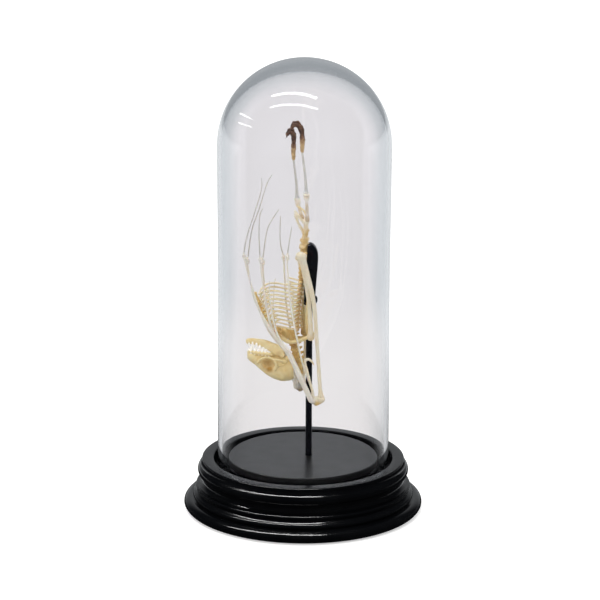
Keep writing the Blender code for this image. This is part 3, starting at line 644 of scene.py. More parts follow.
RIGHT = {
    "hip": (1.3, -3.3, 130.6),
    "knee": (0.9, -6.0, 141.4),
    "ankle": (-1.0, -3.5, 160.0),
    "toe_hook": [(-0.9, 166.1), (-1.4, 170.3), (-3.0, 173.1), (-4.9, 172.7), (-6.3, 170.6)],
    "shoulder": (3.0, -7.2, 79.4),
    "humerus": [(2.9, -7.2, 84.7), (2.4, -7.2, 92.7), (1.5, -7.2, 99.9), (0.4, -7.2, 107.0)],
    "elbow": (-1.3, -7.3, 116.0),
    "forearm": [
        (0.2, -9.2, 112.2), (1.7, -9.2, 106.4), (3.3, -9.1, 100.1), (4.5, -9.0, 93.0), (5.2, -8.8, 84.9),
        (6.3, -8.6, 69.0),
    ],
    "wrist": (7.3, -8.5, 54.6),
    "carpus": (6.1, -8.5, 50.6),
    "thumb": [
        (3.9, -9.7, 55.3), (3.0, -10.0, 59.3), (1.7, -10.2, 64.8), (0.8, -10.2, 68.2), (0.9, -10.2, 69.9),
        (2.3, -10.2, 70.2), (3.6, -10.2, 69.2), (4.5, -10.2, 67.7),
    ],
    "digit_2": [
        (2.2, -11.0, 55.4), (-5.8, -11.6, 72.9), (-10.3, -11.5, 79.8), (-12.8, -11.0, 87.1),
        (-14.3, -10.5, 96.8), (-14.7, -10.0, 105.1),
    ],
    "digit_3": [
        (2.5, -9.4, 53.3), (-5.8, -10.1, 72.0), (-8.6, -10.0, 75.6), (-16.5, -10.0, 87.3),
        (-20.5, -9.8, 96.6), (-23.5, -9.4, 107.4), (-25.2, -9.2, 114.7),
    ],
    "tip_3": [
        (-25.5, -9.0, 117.2), (-24.4, -8.5, 123.7), (-21.1, -7.4, 134.4), (-18.2, -6.6, 144.3),
        (-18.1, -6.2, 149.4),
    ],
    "digit_4": [
        (2.7, -7.9, 52.4), (-5.8, -8.6, 71.1), (-9.9, -8.6, 76.5), (-13.7, -8.5, 83.7),
        (-16.2, -8.4, 94.8), (-17.9, -8.2, 107.0), (-18.5, -8.0, 112.5),
    ],
    "tip_4": [(-18.8, -7.8, 115.6), (-19.2, -7.2, 126.0), (-18.8, -6.6, 133.2), (-17.7, -6.4, 136.0)],
    "digit_5": [
        (3.9, -7.2, 55.3), (0.8, -8.2, 64.3), (-1.1, -8.8, 70.7), (-3.8, -9.4, 83.9), (-5.7, -9.4, 95.1),
        (-7.0, -8.6, 109.1), (-7.2, -8.4, 114.1),
    ],
    "tip_5": [(-7.0, -8.2, 116.9), (-6.4, -8.0, 121.3), (-5.3, -7.4, 128.4)],
}
LEFT = {
    "hip": (-1.0, 3.3, 130.0),
    "knee": (-3.0, 6.0, 136.6),
    "ankle": (-4.7, 3.5, 155.0),
    "toe_hook": [(-4.7, 160.9), (-4.6, 165.7), (-5.4, 168.3), (-6.9, 168.1), (-7.7, 165.8)],
    "shoulder": (0.9, 6.9, 76.8),
    "humerus": [(0.9, 7.2, 82.0), (0.6, 7.2, 90.0), (-0.1, 7.2, 98.0), (-0.9, 7.2, 104.0)],
    "elbow": (-1.7, 7.3, 111.0),
    "forearm": [
        (-1.0, 9.3, 107.2), (-0.5, 9.3, 101.0), (0.2, 9.3, 91.0), (0.7, 9.3, 80.0), (0.9, 9.2, 71.9),
        (0.5, 8.8, 63.0),
    ],
    "wrist": (-0.3, 8.5, 55.8),
    "carpus": (-1.2, 8.5, 51.8),
    "thumb": [
        (-1.4, 10.6, 57.4), (-0.7, 10.7, 61.0), (-0.3, 10.8, 64.9), (0.5, 10.8, 66.5), (1.6, 10.8, 66.0),
        (2.4, 10.7, 64.6),
    ],
    "digit_2": [
        (-3.2, 11.0, 57.2), (-8.7, 11.5, 69.7), (-12.2, 11.2, 77.1), (-13.4, 10.6, 88.6),
        (-12.6, 10.0, 100.5),
    ],
    "digit_3": [
        (-3.9, 9.5, 55.6), (-8.9, 10.1, 68.8), (-14.8, 10.0, 77.0), (-19.5, 9.8, 86.6),
        (-22.7, 9.6, 95.3), (-24.8, 9.2, 108.0),
    ],
    "tip_3": [
        (-24.5, 9.0, 110.7), (-22.7, 8.0, 123.0), (-19.4, 7.2, 133.0), (-16.3, 6.4, 143.4),
        (-14.0, 6.0, 147.9),
    ],
    "digit_4": [
        (-3.8, 7.9, 55.2), (-8.5, 8.6, 67.8), (-13.7, 8.6, 77.4), (-16.2, 8.4, 88.8), (-17.3, 8.2, 98.3),
        (-18.0, 8.0, 107.4),
    ],
    "tip_4": [(-17.9, 7.8, 110.6), (-16.2, 7.0, 122.4), (-14.2, 6.6, 127.4), (-11.0, 6.2, 132.6)],
    "digit_5": [
        (-2.6, 6.9, 56.4), (-2.7, 8.0, 62.0), (-3.9, 8.8, 69.0), (-6.1, 9.2, 79.9), (-7.7, 9.2, 89.9),
        (-8.8, 8.6, 109.2),
    ],
    "tip_5": [(-9.3, 8.4, 112.6), (-10.4, 8.0, 118.5), (-10.3, 7.2, 129.3)],
}
HEAD_AXIS_Z, HEAD_ROLL = 67, -15.5
VERTEBRAE, FLOATING_RIBS = 12, 2
RIB_CLIMB = 4.6
RIB_END_LOW, RIB_END_HIGH = Vector((-13.4, 0, 82.0)), Vector((-20.0, 0, 101.6))
SPINE_LOW, SPINE_HIGH = Vector((-2.8, 0, 81.4)), Vector((-1.2, 0, 101.7))


def on_side(side, *points):
    """Points that are given for the +Y side, on the side that is asked for."""
    return [Vector((x, side * y, z)) for x, y, z in points]


def spine_point(t):
    """A point of the chest's spine, from 0 at the neck to 1 at the loin."""
    point = SPINE_LOW.lerp(SPINE_HIGH, t)
    point.x -= 0.25 * math.sin(math.pi * t)
    return point


def vertebra(work, place, along, size, back_length, wing, front):
    """One vertebra: a drum with flared ends, a spine at the back, two side wings and a front knob."""
    back = Vector((1, 0, 0.25))
    rod(work, [place - along * size * 0.7, place + along * size * 0.7], [size, size * 0.82, size], 14, 3)
    rod(work, [place + back * size * 0.5, place + back * back_length], [size * 0.5, size * 0.28], 8, 2)
    for side in (-1, 1):
        wing_end = place + Vector((size * 0.5, side * wing, 0.4))
        rod(work, [place + Vector((size * 0.3, side * 0.3, 0)), wing_end], [size * 0.5, size * 0.3], 8, 2)
    lump(work, place - back * front, (size * 0.55, size * 0.8, size * 0.45))


def rib_route(number, side):
    """A rib climbs towards the tail as it leaves the spine, and comes back down to the breastbone."""
    t = number / (VERTEBRAE - 1)
    start, end = spine_point(t), RIB_END_LOW.lerp(RIB_END_HIGH, t)
    end.x -= 1.2 * math.sin(math.pi * t)
    end.z -= 1.6
    half_width = 4.6 + 2.5 * math.sin(math.pi * (0.15 + 0.7 * t))
    floating = number >= VERTEBRAE - FLOATING_RIBS
    sweep, steps = (60, 5) if floating else (166, 12)
    points = []
    for step in range(steps + 1):
        angle = math.radians(10 + sweep * step / steps)
        share = (1 - math.cos(angle)) / 2
        point = start.lerp(end, share)
        point.y = side * half_width * math.sin(angle)
        point.z += RIB_CLIMB * share * (1 - share**7)
        points.append(point)
    points[0].y = side * 0.4
    return points


def make_chest():
    """Vertebrae that each carry a pair of ribs, and the breastbone."""
    for number in range(VERTEBRAE):
        t = number / (VERTEBRAE - 1)
        middle = spine_point(t)
        along = (spine_point(min(t + 0.05, 1)) - spine_point(max(t - 0.05, 0))).normalized()
        work = bmesh.new()
        vertebra(work, middle, along, 1.0, 2.3, 1.8, 0.9)
        for side in (-1, 1):
            route = rib_route(number, side)
            rod(work, route, [0.7, 0.5, 0.47, 0.47, 0.5, 0.36], 10, 4, 0.75, (0, 0, 1))
        bone(f"thoracic_segment_{number + 1:02d}", fused(work, smooth=2), RIB, [(middle, 2.6, 1.0)])

    work = bmesh.new()
    keel = [(-6.8, 0, 78.4), (-9.4, 0, 79.2), (-12.6, 0, 81.4), (-15.0, 0, 84.2)]
    keel += [(-17.3, 0, 87.8), (-19.2, 0, 92.0), (-20.9, 0, 97.0)]
    rod(work, keel, [2.0, 1.8, 1.5, 1.35, 1.2, 1.0, 0.6], 12, 4, 0.8, (0, 1, 0))
    rod(work, [(-12.4, -2.6, 79.3), (-12.2, 0, 79.0), (-12.4, 2.6, 79.3)], [0.7, 1.4, 0.7], 10, 4)
    lump(work, (-7.6, 0, 79.8), (2.7, 2.1, 1.9), (0, 20, 0))
    for place in ((-14.2, 0, 81.2), (-16.0, 0, 84.6), (-18.0, 0, 88.8), (-19.6, 0, 93.0)):
        lump(work, place, (1.15, 1.3, 0.75), (0, -60, 0))
    spots = [((-8.6, -1.6, 79), 1.6, 0.2), ((-14, -0.8, 82), 1.4, 0.5), ((-18.2, -0.8, 89), 1.0, 0.4)]
    bone("sternum", fused(work), AMBER, spots, coarse=(0.9, 0.3))


def vertebrae(work, route, sizes, *parts):
    """Vertebrae between the points of a route. Their sizes run from the first size to the last."""
    last = len(route) - 2
    for i in range(last + 1):
        place = route[i].lerp(route[i + 1], 0.5)
        along = (route[i + 1] - route[i]).normalized()
        vertebra(work, place, along, sizes[0] + (sizes[1] - sizes[0]) * i / last, *parts)


def make_spine_ends():
    """The neck and the loin."""
    neck = vectors((-4.9, 0, 79.2), (-4.3, 0, 75.2), (-3.3, 0, 71.0), (-2.3, 0, 66.5), (-1.9, 0, 61.8))
    route = smooth_values(neck, 2)
    work = bmesh.new()
    rod(work, neck, [2.0, 1.9, 1.6, 1.6, 1.7], 14, 4)
    vertebrae(work, route, (1.75, 1.75), 2.7, 2.6, 1.2)
    lump(work, (-3.0, 0, 63.6), (1.9, 2.6, 1.5), (0, 20, 0))
    spots = [((-4, -1.5, 74.5), 2.4, 0.6), ((-2.6, -1.5, 66), 1.8, 0.5)]
    bone("cervical_spine", fused(work), AMBER, spots, coarse=(0.8, 0.28))

    loin = vectors((-1.0, 0, 103.6), (-0.7, 0, 107.2), (-0.2, 0, 111.5), (0.0, 0, 116.4))
    route = smooth_values(loin, 2)
    work = bmesh.new()
    rod(work, loin, [0.9, 0.9, 1.0, 1.2], 14, 4)
    vertebrae(work, route, (1.3, 1.8), 1.6, 2.4, 0.9)
    spots = [(place + Vector((0, -1.2, 0)), 1.0, 0.7) for place in route]
    bone("lumbar_spine", fused(work, smooth=2), AMBER, spots, 0.12, (0.9, 0.3))


def make_pelvis():
    """The sacrum with its lumps, the hip bones, and the tail."""
    work = bmesh.new()
    sacrum = vectors((0.1, 0, 117.2), (0.3, 0, 120.0), (0.6, 0, 123.5), (0.8, 0, 127.0), (1.0, 0, 130.2))
    rod(work, sacrum, [1.6, 1.5, 1.25, 1.0, 0.8], 14, 5)
    for i, place in enumerate(sacrum[:3]):
        size = 2.0 - 0.35 * i
        lump(work, place + Vector((-0.7, 0, 0.5)), (size * 0.85, size * 1.1, size * 0.75), (0, 12, 0))
        lump(work, place + Vector((0.9, 0, 1.3)), (size * 0.75, size * 0.45, size * 0.6), (0, -20, 0))
    for side in (-1, 1):
        blade = on_side(side, (0, 0.8, 119.6), (0.3, 1.8, 123.5), (0.9, 2.2, 129.4))
        pubis = on_side(side, (0.0, 1.6, 123.6), (-2.0, 1.9, 127.0), (-3.9, 1.6, 131.6))
        ischium = on_side(side, (0.6, 2.1, 127.6), (-1.4, 1.9, 130.0), (-3.9, 1.5, 132.8))
        rod(work, blade, [0.6, 0.6, 1.0], 10, 5)
        for route in (pubis, ischium):
            rod(work, route, [0.5, 0.36, 0.5], 10, 5)
        lump(work, (1.1, side * 2.4, 129.4), (1.2, 0.9, 1.2))
    spots = [((1.0, -2, 127), 2, 0.45)]
    spots += [(place + Vector((0, -1, 0.5)), 2.6, 1.0) for place in sacrum[:3]]
    bone("pelvis", fused(work, 0.11, 2), PALE, spots, 0.12, (0.7, 0.25))

    work = bmesh.new()
    tail = [(0.9, 0, 130.6), (0.3, 0, 133.0), (-1.2, 0, 134.6), (-3.4, 0, 135.8)]
    rod(work, tail, [0.5, 0.42, 0.36, 0.25], 10, 5)
    bone("tail_vertebrae", fused(work), IVORY)


def roll_head(piece):
    """Turns a piece about the head's long axis, as the CAD does, so the head's far side is lower."""
    to_axis = Matrix.Translation((0, 0, HEAD_AXIS_Z * MM))
    piece.data.transform(to_axis @ Matrix.Rotation(math.radians(HEAD_ROLL), 4, "X") @ to_axis.inverted())


def tooth_row(name, node, places, point_up):
    """Pointed teeth at (x, half width, gum height, length) places, on both sides of a jaw."""
    work = bmesh.new()
    for x, half, gum, length in places:
        width = 0.52 + 0.12 * length / 3
        for side in (-1, 1):
            tip = Vector((x - 0.25, side * (half - 0.1), gum + point_up * length))
            foot = Vector((x, side * half, gum - point_up * 0.9))
            rod(work, [foot, foot.lerp(tip, 0.6), tip], [width, width, 0.22], 10, 4)
    roll_head(bone(node, fused(work, 0.1, 1), TOOTH, rough=0, name=name))


def make_cranium():
    """The skull with its eye sockets, nostrils and cheek arches, and the upper teeth."""
    # Places along the head, from nose to neck, as (x, middle height, half height, half width).
    stations = [
        (-24.5, 69.3, 1.6, 1.5), (-23.4, 68.8, 2.3, 2.1), (-20.5, 67.5, 3.3, 2.6), (-17.4, 66.0, 4.4, 3.0),
        (-14.6, 64.8, 5.2, 3.4), (-12.0, 64.0, 5.5, 4.6), (-8.6, 63.4, 5.7, 5.7), (-5.8, 63.0, 5.0, 5.3),
        (-4.3, 62.6, 3.8, 4.1),
    ]
    columns = [smooth_values([station[i] for station in stations], 4) for i in range(4)]
    work = bmesh.new()
    rings = []
    for x, height, half_height, half_width in zip(*columns):
        spots = [(x, half_width * c, height + half_height * s) for c, s in circle(28)]
        rings.append(add_ring(work, spots))
    cap_ends(work, rings)
    skin_rings(work, rings)
    holes = bmesh.new()
    # The two stains at the back of the skull, by the neck, are partly brown colour and partly painted
    # shade where the neck meets it.
    spots = [((-20.5, -3, 69), 1.2, 0.35), ((-5, -3, 66.4), 2.0, 0.6), ((-3.6, 0, 63), 2.4, 0.7)]
    for side in (-1, 1):
        gum = on_side(side, (-23.6, 1.3, 70.4), (-19.0, 2.6, 69.8), (-13.6, 3.6, 69.2))
        rod(work, gum, [0.8, 0.9, 0.8])
        socket_rim = on_side(side, (-19.7, 2.6, 65.8), (-18.2, 4.1, 67.4), (-15.8, 5.4, 68.1))
        socket_rim += on_side(side, (-13.2, 6.0, 67.2), (-11.7, 5.8, 65.0), (-12.4, 4.8, 62.7))
        rod(work, socket_rim, [0.55, 0.5, 0.5, 0.55, 0.6, 0.6])
        arch = on_side(side, (-13.2, 6.0, 67.2), (-10.6, 6.4, 67.0), (-8.0, 5.3, 66.2))
        rod(work, arch, [0.5, 0.5, 0.9], 12, 5)
        lump(work, (-6.8, side * 3.7, 67.4), (1.9, 1.7, 1.4))
        lump(work, (-9.6, side * 5.3, 64.6), (1.7, 0.8, 0.5), (0, -20, 0))
        lump(holes, (-15.5, side * 4.9, 65.1), (3.4, 3.2, 2.5), (0, 14, 0), 4)
        lump(holes, (-24.9, side * 0.8, 68.9), (0.9, 0.6, 1.0))
        # Stain in each eye socket, strongest at its bottom: partly amber colour, partly painted shade in
        # the hollow.
        spots += [((-15.5, side * 3.0, 65.0), 2.8, 0.85), ((-14.8, side * 3.0, 63.3), 1.9, 1.0)]
    skull = fused(work, 0.15, 3, holes)
    roll_head(bone("cranium", skull, IVORY, spots, coarse=(0.35, 0.22)))
    upper = [(-23.6, 0.9, 70.9, 1.0), (-22.7, 1.6, 70.8, 1.9), (-21.0, 2.2, 70.5, 1.4)]
    upper += [(-19.4, 2.6, 70.3, 1.4), (-17.9, 2.9, 70.2, 1.3), (-16.4, 3.2, 70.0, 1.1)]
    upper += [(-15.0, 3.4, 69.8, 0.9)]
    tooth_row("upper_teeth", "cranium", upper, 1)


def make_mandible():
    """The lower jaw and its teeth."""
    work = bmesh.new()
    for side in (-1, 1):
        jaw = on_side(side, (-24.0, 0.5, 74.9), (-22.0, 1.2, 74.9), (-20.0, 2.0, 74.6), (-17.4, 3.0, 74.0))
        jaw += on_side(side, (-14.8, 3.9, 72.9), (-12.3, 4.7, 71.5), (-9.4, 5.4, 69.2))
        rod(work, jaw, [1.25, 1.45, 1.55, 1.7, 1.9, 2.25, 1.2], 16, 5, 0.5, (0, 1, 0))
        lump(work, (-10.6, side * 5.2, 71.2), (2.6, 0.55, 1.8), (0, 45, 0))
    spots = [((-10.4, -5, 69.6), 1.8, 0.6), ((-17, -3, 74), 1, 0.3)]
    roll_head(bone("mandible", fused(work), IVORY, spots, coarse=(0.4, 0.18)))
    lower = [(-23.5, 0.7, 74.0, 1.0), (-22.0, 1.5, 73.6, 1.9), (-20.3, 2.3, 73.1, 1.5)]
    lower += [(-18.7, 2.7, 72.7, 1.5), (-17.2, 3.1, 72.2, 1.4), (-15.8, 3.5, 71.5, 1.2)]
    lower += [(-14.4, 3.8, 70.8, 1.0)]
    tooth_row("lower_teeth", "mandible", lower, -1)


def make_leg(name, limb):
    """A thigh, a shin, and a dried foot whose toes hook over at the top."""
    hip, knee, ankle = vectors(limb["hip"], limb["knee"], limb["ankle"])
    thigh = (knee - hip).normalized()
    shin = (ankle - knee).normalized()
    work = bmesh.new()
    rod(work, [hip, hip.lerp(knee, 0.5), knee - thigh * 0.6], [1.0, 0.82, 0.75, 0.72, 0.85])
    lump(work, hip, (1.05, 1.05, 1.05))
    lump(work, knee - thigh * 0.7, (1.35, 1.1, 1.5))
    lump(work, knee + shin * 0.7, (1.45, 1.2, 0.95))
    spots = [(hip, 2.6, 0.9), (hip.lerp(knee, 0.5), 3.6, 0.62), (knee, 1.4, 0.8)]
    bone(f"{name}_femur", fused(work), FINGER, spots)

    top, bottom = knee + shin * 1.6, ankle + shin * 0.6
    bow = top.lerp(bottom, 0.4) + Vector((0.3, 0, 0))
    work = bmesh.new()
    rod(work, [top, bow, bottom], [0.8, 0.64, 0.56, 0.5, 0.48], 12, 10)
    lump(work, top, (1.15, 1.0, 0.5))
    bone(f"{name}_tibia", fused(work, 0.1, 2), GREY)

    hook = [Vector((x, ankle.y, z)) for x, z in limb["toe_hook"]]
    heel = ankle + Vector((0, 0, 0.6))
    work = bmesh.new()
    rod(work, [heel, heel.lerp(hook[0], 0.5), hook[0]], [0.75, 0.95, 1.1], 14, 6)
    for toe in range(5):
        spread = toe - 2
        route = [heel + Vector((0, spread * 0.35, 1.5))]
        for i, point in enumerate(hook):
            wobble = 0.7 * math.sin(2.1 * toe + 1.7 * i)
            route.append(point + Vector((wobble * 0.5, spread * min(1, 0.4 + 0.3 * i), wobble)))
        rod(work, route, [0.6, 0.72, 0.78, 0.68, 0.6, 0.12])
        for place in route[2:5]:
            lump(work, place, (0.8, 0.6, 0.8))
    spots = [(hook[3], 5.0, 0.85), (hook[1], 4.2, 0.95), (hook[-1], 2.5, 1.0)]
    foot = fused(work, smooth=1)
    bone(f"{name}_foot", foot, SKIN, spots, coarse=(1.1, 0.3), slot="dried_skin")


def make_shoulder(name, side, shoulder):
    """A collar bone and a shoulder blade."""
    work = bmesh.new()
    collar = on_side(side, (-10.6, 2.6, 78.8), (-6.0, 4.9, 76.4))
    collar += on_side(side, (-0.6, 5.6, shoulder.z - 1.6), (2.0, 6.6, shoulder.z))
    rod(work, collar, [1.1, 0.8, 0.9, 0.8], 12, 8)
    bone(f"{name}_clavicle", fused(work), IVORY, [(collar[0], 3, 0.6)])

    work = bmesh.new()
    socket = Vector((shoulder.x - 1.1, side * 4.9, shoulder.z + 1.2))
    tip = socket + Vector((-0.3, 0, 15.0))
    for bulge, radii in ((0.8, [1.2, 0.55, 0.45, 0.4]), (-0.9, [0.9, 0.45, 0.4, 0.4])):
        upper, lower = socket + Vector((bulge, 0, 4.5)), socket + Vector((bulge * 0.8, 0, 9.5))
        rod(work, [socket, upper, lower, tip], radii)
    lump(work, socket + Vector((-0.1, side * 0.1, 6.6)), (0.9, 0.28, 7.2))
    lump(work, socket + Vector((1.2, side * 0.8, -0.2)), (1.6, 0.9, 1.4))
    spots = [(socket, 3, 0.7), (tip, 2, 0.4)]
    bone(f"{name}_scapula", fused(work), IVORY, spots, 0.1)


def make_wing(name, limb):
    """A shoulder, an upper arm, a forearm and a hand."""
    side = -1 if limb["hip"][1] < 0 else 1
    shoulder, elbow = vectors(limb["shoulder"], limb["elbow"])
    wrist, carpus = vectors(limb["wrist"], limb["carpus"])
    make_shoulder(name, side, shoulder)

    work = bmesh.new()
    shaft = [shoulder, *vectors(*limb["humerus"]), elbow]
    rod(work, shaft, [1.4, 1.05, 0.9, 0.95, 1.1, 1.4], 14, 6)
    lump(work, shoulder, (1.7, 1.3, 1.7))
    lump(work, elbow + Vector((-0.3, 0, -0.2)), (1.9, 1.1, 1.6))
    bone(f"{name}_humerus", fused(work), PALE, [(shoulder, 2.4, 0.6)])

    work = bmesh.new()
    top = Vector((elbow.x + 0.5, side * 9.8, elbow.z + 0.2))
    shaft = [top, *vectors(*limb["forearm"]), wrist]
    rod(work, shaft, [1.5, 1.25, 1.15, 1.05, 0.95, 0.85, 0.8, 0.85], 14, 6)
    lump(work, top, (2.1, 1.0, 1.5))
    lump(work, top + Vector((-1.1, side * -0.2, -1.0)), (0.9, 0.8, 1.2))
    end = wrist + Vector((0.2, 0, -1.4))
    rod(work, [wrist + Vector((0, 0, 1.5)), end], [0.85, 1.2], 14, 3)
    lump(work, end, (1.45, 1.15, 0.8))
    bone(f"{name}_radius", fused(work), PALE, [(end, 1.6, 0.35)])
    make_hand(name, side, limb, carpus)


def make_hand(name, side, limb, carpus):
    """The wrist bones, the thumb with its claw, and the long fingers that stretch the wing."""
    work = bmesh.new()
    lump(work, carpus + Vector((0, 0, 0.5)), (2.7, 1.7, 1.9), (0, -12, 0))
    for offset, radii in (
        ((1.7, 0, 1.1), (1.6, 1.5, 1.5)),
        ((-1.8, 0.2, 1.0), (1.3, 1.4, 1.4)),
        ((-0.4, 0, -1.0), (1.1, 1.2, 0.8)),
        ((0.3, side * 0.9, 1.4), (0.9, 0.8, 0.8)),
    ):
        lump(work, carpus + Vector(offset), radii)
    # The stain under the wrist bones, on their near side, is partly orange-brown colour and partly painted
    # shade.
    spots = [(carpus + Vector((0, -1, -0.8)), 1.8, 1.0)]
    colour = PALE if side < 0 else GREY
    bone(f"{name}_carpus", fused(work), colour, spots, 0.1, (0.6, 0.25))

    def from_wrist(key):
        """A finger's route with its root carried back to the wrist bones."""
        first = Vector(limb[key][0])
        root = Vector((carpus.x - 2.0, carpus.y + (first.y - carpus.y) * 0.6, carpus.z + 0.6))
        return [root, *limb[key]]

    work = bmesh.new()
    rod(work, from_wrist("thumb"), [0.7, 0.55, 0.48, 0.45, 0.62, 0.5, 0.15])
    claw = Vector(limb["thumb"][-1])
    bone(f"{name}_thumb", fused(work, FINGER_VOXEL, 2), PALE, [(claw, 2.0, 1.0)])

    work = bmesh.new()
    rod(work, from_wrist("digit_2"), [0.7, 0.6, 0.5, 0.4, 0.28, 0.2])
    bone(f"{name}_digit_2", fused(work, FINGER_VOXEL, 1), FINGER)

    for number, root in ((3, 1.35), (4, 1.25), (5, 0.6)):
        tip = limb[f"tip_{number}"]
        metacarpal = from_wrist(f"digit_{number}")
        knuckle = Vector(metacarpal[-1]).lerp(Vector(tip[0]), 0.5)
        work = bmesh.new()
        rod(work, [*metacarpal, tip[0]], [root, root * 0.85, root * 0.65, 0.46, 0.38, 0.4])
        lump(work, knuckle, (0.9, 0.75, 1.05))
        lump(work, knuckle.lerp(Vector(metacarpal[-1]), 0.5) + Vector((0.2, 0, -0.4)), (0.7, 0.7, 0.7))
        node = f"{name}_digit_{number}"
        bone(node, fused(work, FINGER_VOXEL, 1), FINGER, rough=0.02)
        work = bmesh.new()
        rod(work, tip, [0.32, 0.26, 0.22, 0.17], 10, 6)
        bone(node, fused(work, FINGER_VOXEL, 1), GREY, rough=0, name=f"{node}_tip_fine")


make_chest()
make_spine_ends()
make_pelvis()
make_cranium()
make_mandible()
for limb_name, limb in (("right", RIGHT), ("left", LEFT)):
    make_leg(limb_name, limb)
    make_wing(limb_name, limb)


# ---- studio

FLOOR_HALF_WIDTH_M = 6.0
CAMERA_DISTANCE_M = 1.2966
CAMERA_ELEVATION = 15.55
CAMERA_ROLL = 0.25
AIM_M = Vector((-0.00164, 0, 0.09378))
WHITE = (1, 1, 1)
ROOM_LIGHT = (0.97, 0.96, 0.95)
DARK_ROOM = (0.02, 0.022, 0.026)
BACKDROP = (0.4, 0.415, 0.43)
ROOM_IN_GLASS = (0.44, 0.465, 0.485)
ROOM_THROUGH_GLASS = (0.52, 0.55, 0.575)
ROOM_IN_FRONT = (0.3, 0.31, 0.33)
FLOOR_IN_GLASS = (0.85, 0.87, 0.89)
FLOOR_BEHIND = (0.85, 0.88, 0.9)
FLOOR_BOUNCE = (0.8, 0.8, 0.8)
FLOOR_IN_GLOSS = (0.012, 0.013, 0.015)


def make_camera():
    data = bpy.data.cameras.new("camera")
    data.lens = 180
    data.sensor_width = 36
    camera = place_new("camera", data)
    down = math.radians(CAMERA_ELEVATION)
    place = AIM_M + Vector((0, -math.cos(down), math.sin(down))) * CAMERA_DISTANCE_M
    turn = Euler((math.radians(90) - down, 0, 0)).to_matrix().to_4x4()
    roll = Matrix.Rotation(math.radians(CAMERA_ROLL), 4, "Z")
    camera.matrix_world = Matrix.Translation(place) @ turn @ roll
    bpy.context.scene.camera = camera


def depth_switch(tree, kind, unseen, seen, bounces=1):
    """Mixes two shaders: seen once the path has had that many bounces of that kind, unseen before."""
    over = tree.nodes.new("ShaderNodeMath")
    over.operation = "GREATER_THAN"
    over.inputs[1].default_value = bounces - 0.5
    tree.links.new(tree.nodes.new("ShaderNodeLightPath").outputs[f"{kind} Depth"], over.inputs[0])
    return mix_shaders(tree, over.outputs[0], unseen, seen)


def blend_by(tree, value, low, high, below, above):
    """Mixes two shaders smoothly: below where value is low, above where it is high."""
    share = tree.nodes.new("ShaderNodeMapRange")
    share.interpolation_type = "SMOOTHSTEP"
    share.inputs["From Min"].default_value = low
    share.inputs["From Max"].default_value = high
    tree.links.new(value, share.inputs["Value"])
    return mix_shaders(tree, share.outputs["Result"], below, above)


def glows(tree, kind, *colours):
    """Adds an Emission or Background node for each colour, and gives their outputs."""
    outputs = []
    for colour in colours:
        node = tree.nodes.new(f"ShaderNode{kind}")
        node.inputs["Color"].default_value = (*colour, 1)
        outputs.append(node.outputs[0])
    return outputs


def make_floor_plane():
    """A plain pale floor: white to the camera, white or pale through the glass, and dim in gloss."""
    work = bmesh.new()
    bmesh.ops.create_grid(work, x_segments=1, y_segments=1, size=FLOOR_HALF_WIDTH_M)
    floor = bare_object("studio_floor", work)
    s = Shader("studio_floor")
    s.set("Base Color", (0.9, 0.9, 0.9, 1))
    s.set("Specular IOR Level", 0.0)
    s.set("Emission Color", (*WHITE, 1))
    s.set("Emission Strength", 0.45)
    white, soft, dim = glows(s.tree, "Emission", WHITE, FLOOR_BOUNCE, FLOOR_IN_GLOSS)
    behind, inside = glows(s.tree, "Emission", FLOOR_BEHIND, FLOOR_IN_GLASS)
    place = s.add("SeparateXYZ")
    s.link(s.place(), place.inputs[0])
    inside = blend_by(s.tree, place.outputs["Y"], 0.0, 0.08, dim, inside)
    dim = blend_by(s.tree, place.outputs["Y"], 0.06, 0.25, dim, behind)
    dim = depth_switch(s.tree, "Transmission", dim, inside)
    shade = depth_switch(s.tree, "Transmission", s.main.outputs["BSDF"], white)
    shade = depth_switch(s.tree, "Diffuse", shade, soft)
    shade = depth_switch(s.tree, "Glossy", shade, dim)
    s.link(shade, s.tree.nodes["Material Output"].inputs["Surface"])
    floor.data.materials.append(s.material)


def area_light(name, length, width, radiance):
    data = bpy.data.lights.new(name, "AREA")
    data.shape = "RECTANGLE"
    data.size = length
    data.size_y = width
    data.energy = radiance * math.pi * length * width
    return place_new(name, data)


def strip_light(name, start, end, width, radiance):
    """A long lamp between two points, facing down."""
    start, end = Vector(start), Vector(end)
    lamp = area_light(name, (end - start).length, width, radiance)
    lamp.location = (start + end) / 2
    lamp.rotation_euler = (0, 0, math.atan2(end.y - start.y, end.x - start.x))
    return lamp


def light_only(lamp, piece):
    """Lets a lamp reach one piece and nothing else."""
    reached = bpy.data.collections.new(f"lit_by_{lamp.name}")
    reached.objects.link(bpy.data.objects[piece])
    lamp.light_linking.receiver_collection = reached


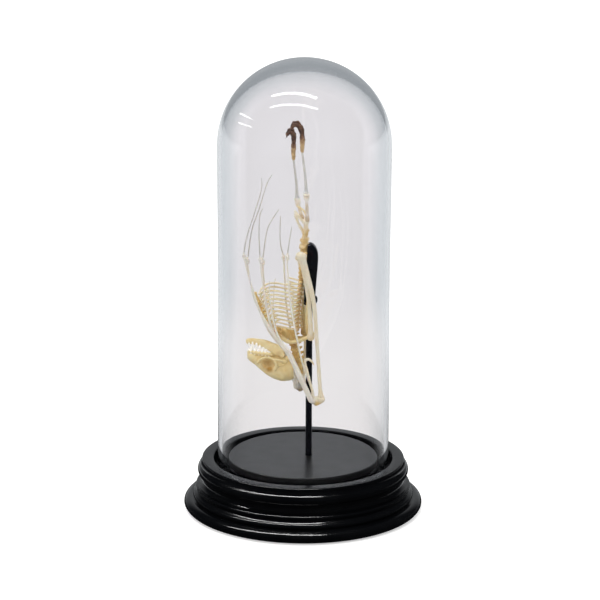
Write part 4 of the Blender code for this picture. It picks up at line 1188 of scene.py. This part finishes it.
def soft_light(name, place, size, radiance):
    """A square soft box that faces the object and doesn't show in gloss or through glass."""
    lamp = area_light(name, size, size, radiance)
    lamp.location = place
    lamp.rotation_euler = (AIM_M - Vector(place)).to_track_quat("-Z", "Y").to_euler()
    lamp.visible_glossy = False
    lamp.visible_transmission = False


def make_world():
    """White to the camera, bright to matt surfaces, and to glossy ones a dark room with a light backdrop
    behind the object. The room is paler where it shows in gloss through the glass."""
    world = bpy.data.worlds.new("studio")
    world.use_nodes = True
    bpy.context.scene.world = world
    tree = world.node_tree
    white, soft = glows(tree, "Background", WHITE, ROOM_LIGHT)
    dark, backdrop, front = glows(tree, "Background", DARK_ROOM, BACKDROP, ROOM_IN_FRONT)
    inside, through = glows(tree, "Background", ROOM_IN_GLASS, ROOM_THROUGH_GLASS)
    towards = tree.nodes.new("ShaderNodeSeparateXYZ")
    tree.links.new(tree.nodes.new("ShaderNodeTexCoord").outputs["Generated"], towards.inputs[0])
    dim = blend_by(tree, towards.outputs["Y"], 0.72, 0.99, dark, backdrop)
    inside = blend_by(tree, towards.outputs["Y"], -0.25, 0.35, dark, inside)
    inside = blend_by(tree, towards.outputs["Y"], -0.7, -0.35, front, inside)
    through = blend_by(tree, towards.outputs["Y"], 0.35, 0.9, dark, through)
    inside = depth_switch(tree, "Transmission", inside, through, 3)
    dim = depth_switch(tree, "Transmission", dim, inside)
    shade = depth_switch(tree, "Diffuse", white, soft)
    shade = depth_switch(tree, "Glossy", shade, dim)
    tree.links.new(shade, tree.nodes["World Output"].inputs["Surface"])


def make_lights():
    """A tube over everything, one for the glass alone, one for the base alone, and a soft key."""
    strip_light("tube_1", (0.38, -0.38, 1.76), (-1.08, 0.07, 1.76), 0.11, 15)
    side_tube = strip_light("tube_2", (-4.1, 1.94, 1.76), (-3.2, -0.1, 1.76), 0.2, 12)
    light_only(side_tube, "glass_dome_fine")
    base_tube = strip_light("tube_3", (0.38, -0.38, 1.74), (-1.6, 0.23, 1.74), 0.11, 36)
    light_only(base_tube, "turned_base_fine")
    soft_light("key", (-0.9, -1.3, 1.5), 0.9, 3.0)


make_camera()
make_floor_plane()
make_world()
make_lights()
bpy.context.scene.view_settings.view_transform = "Standard"
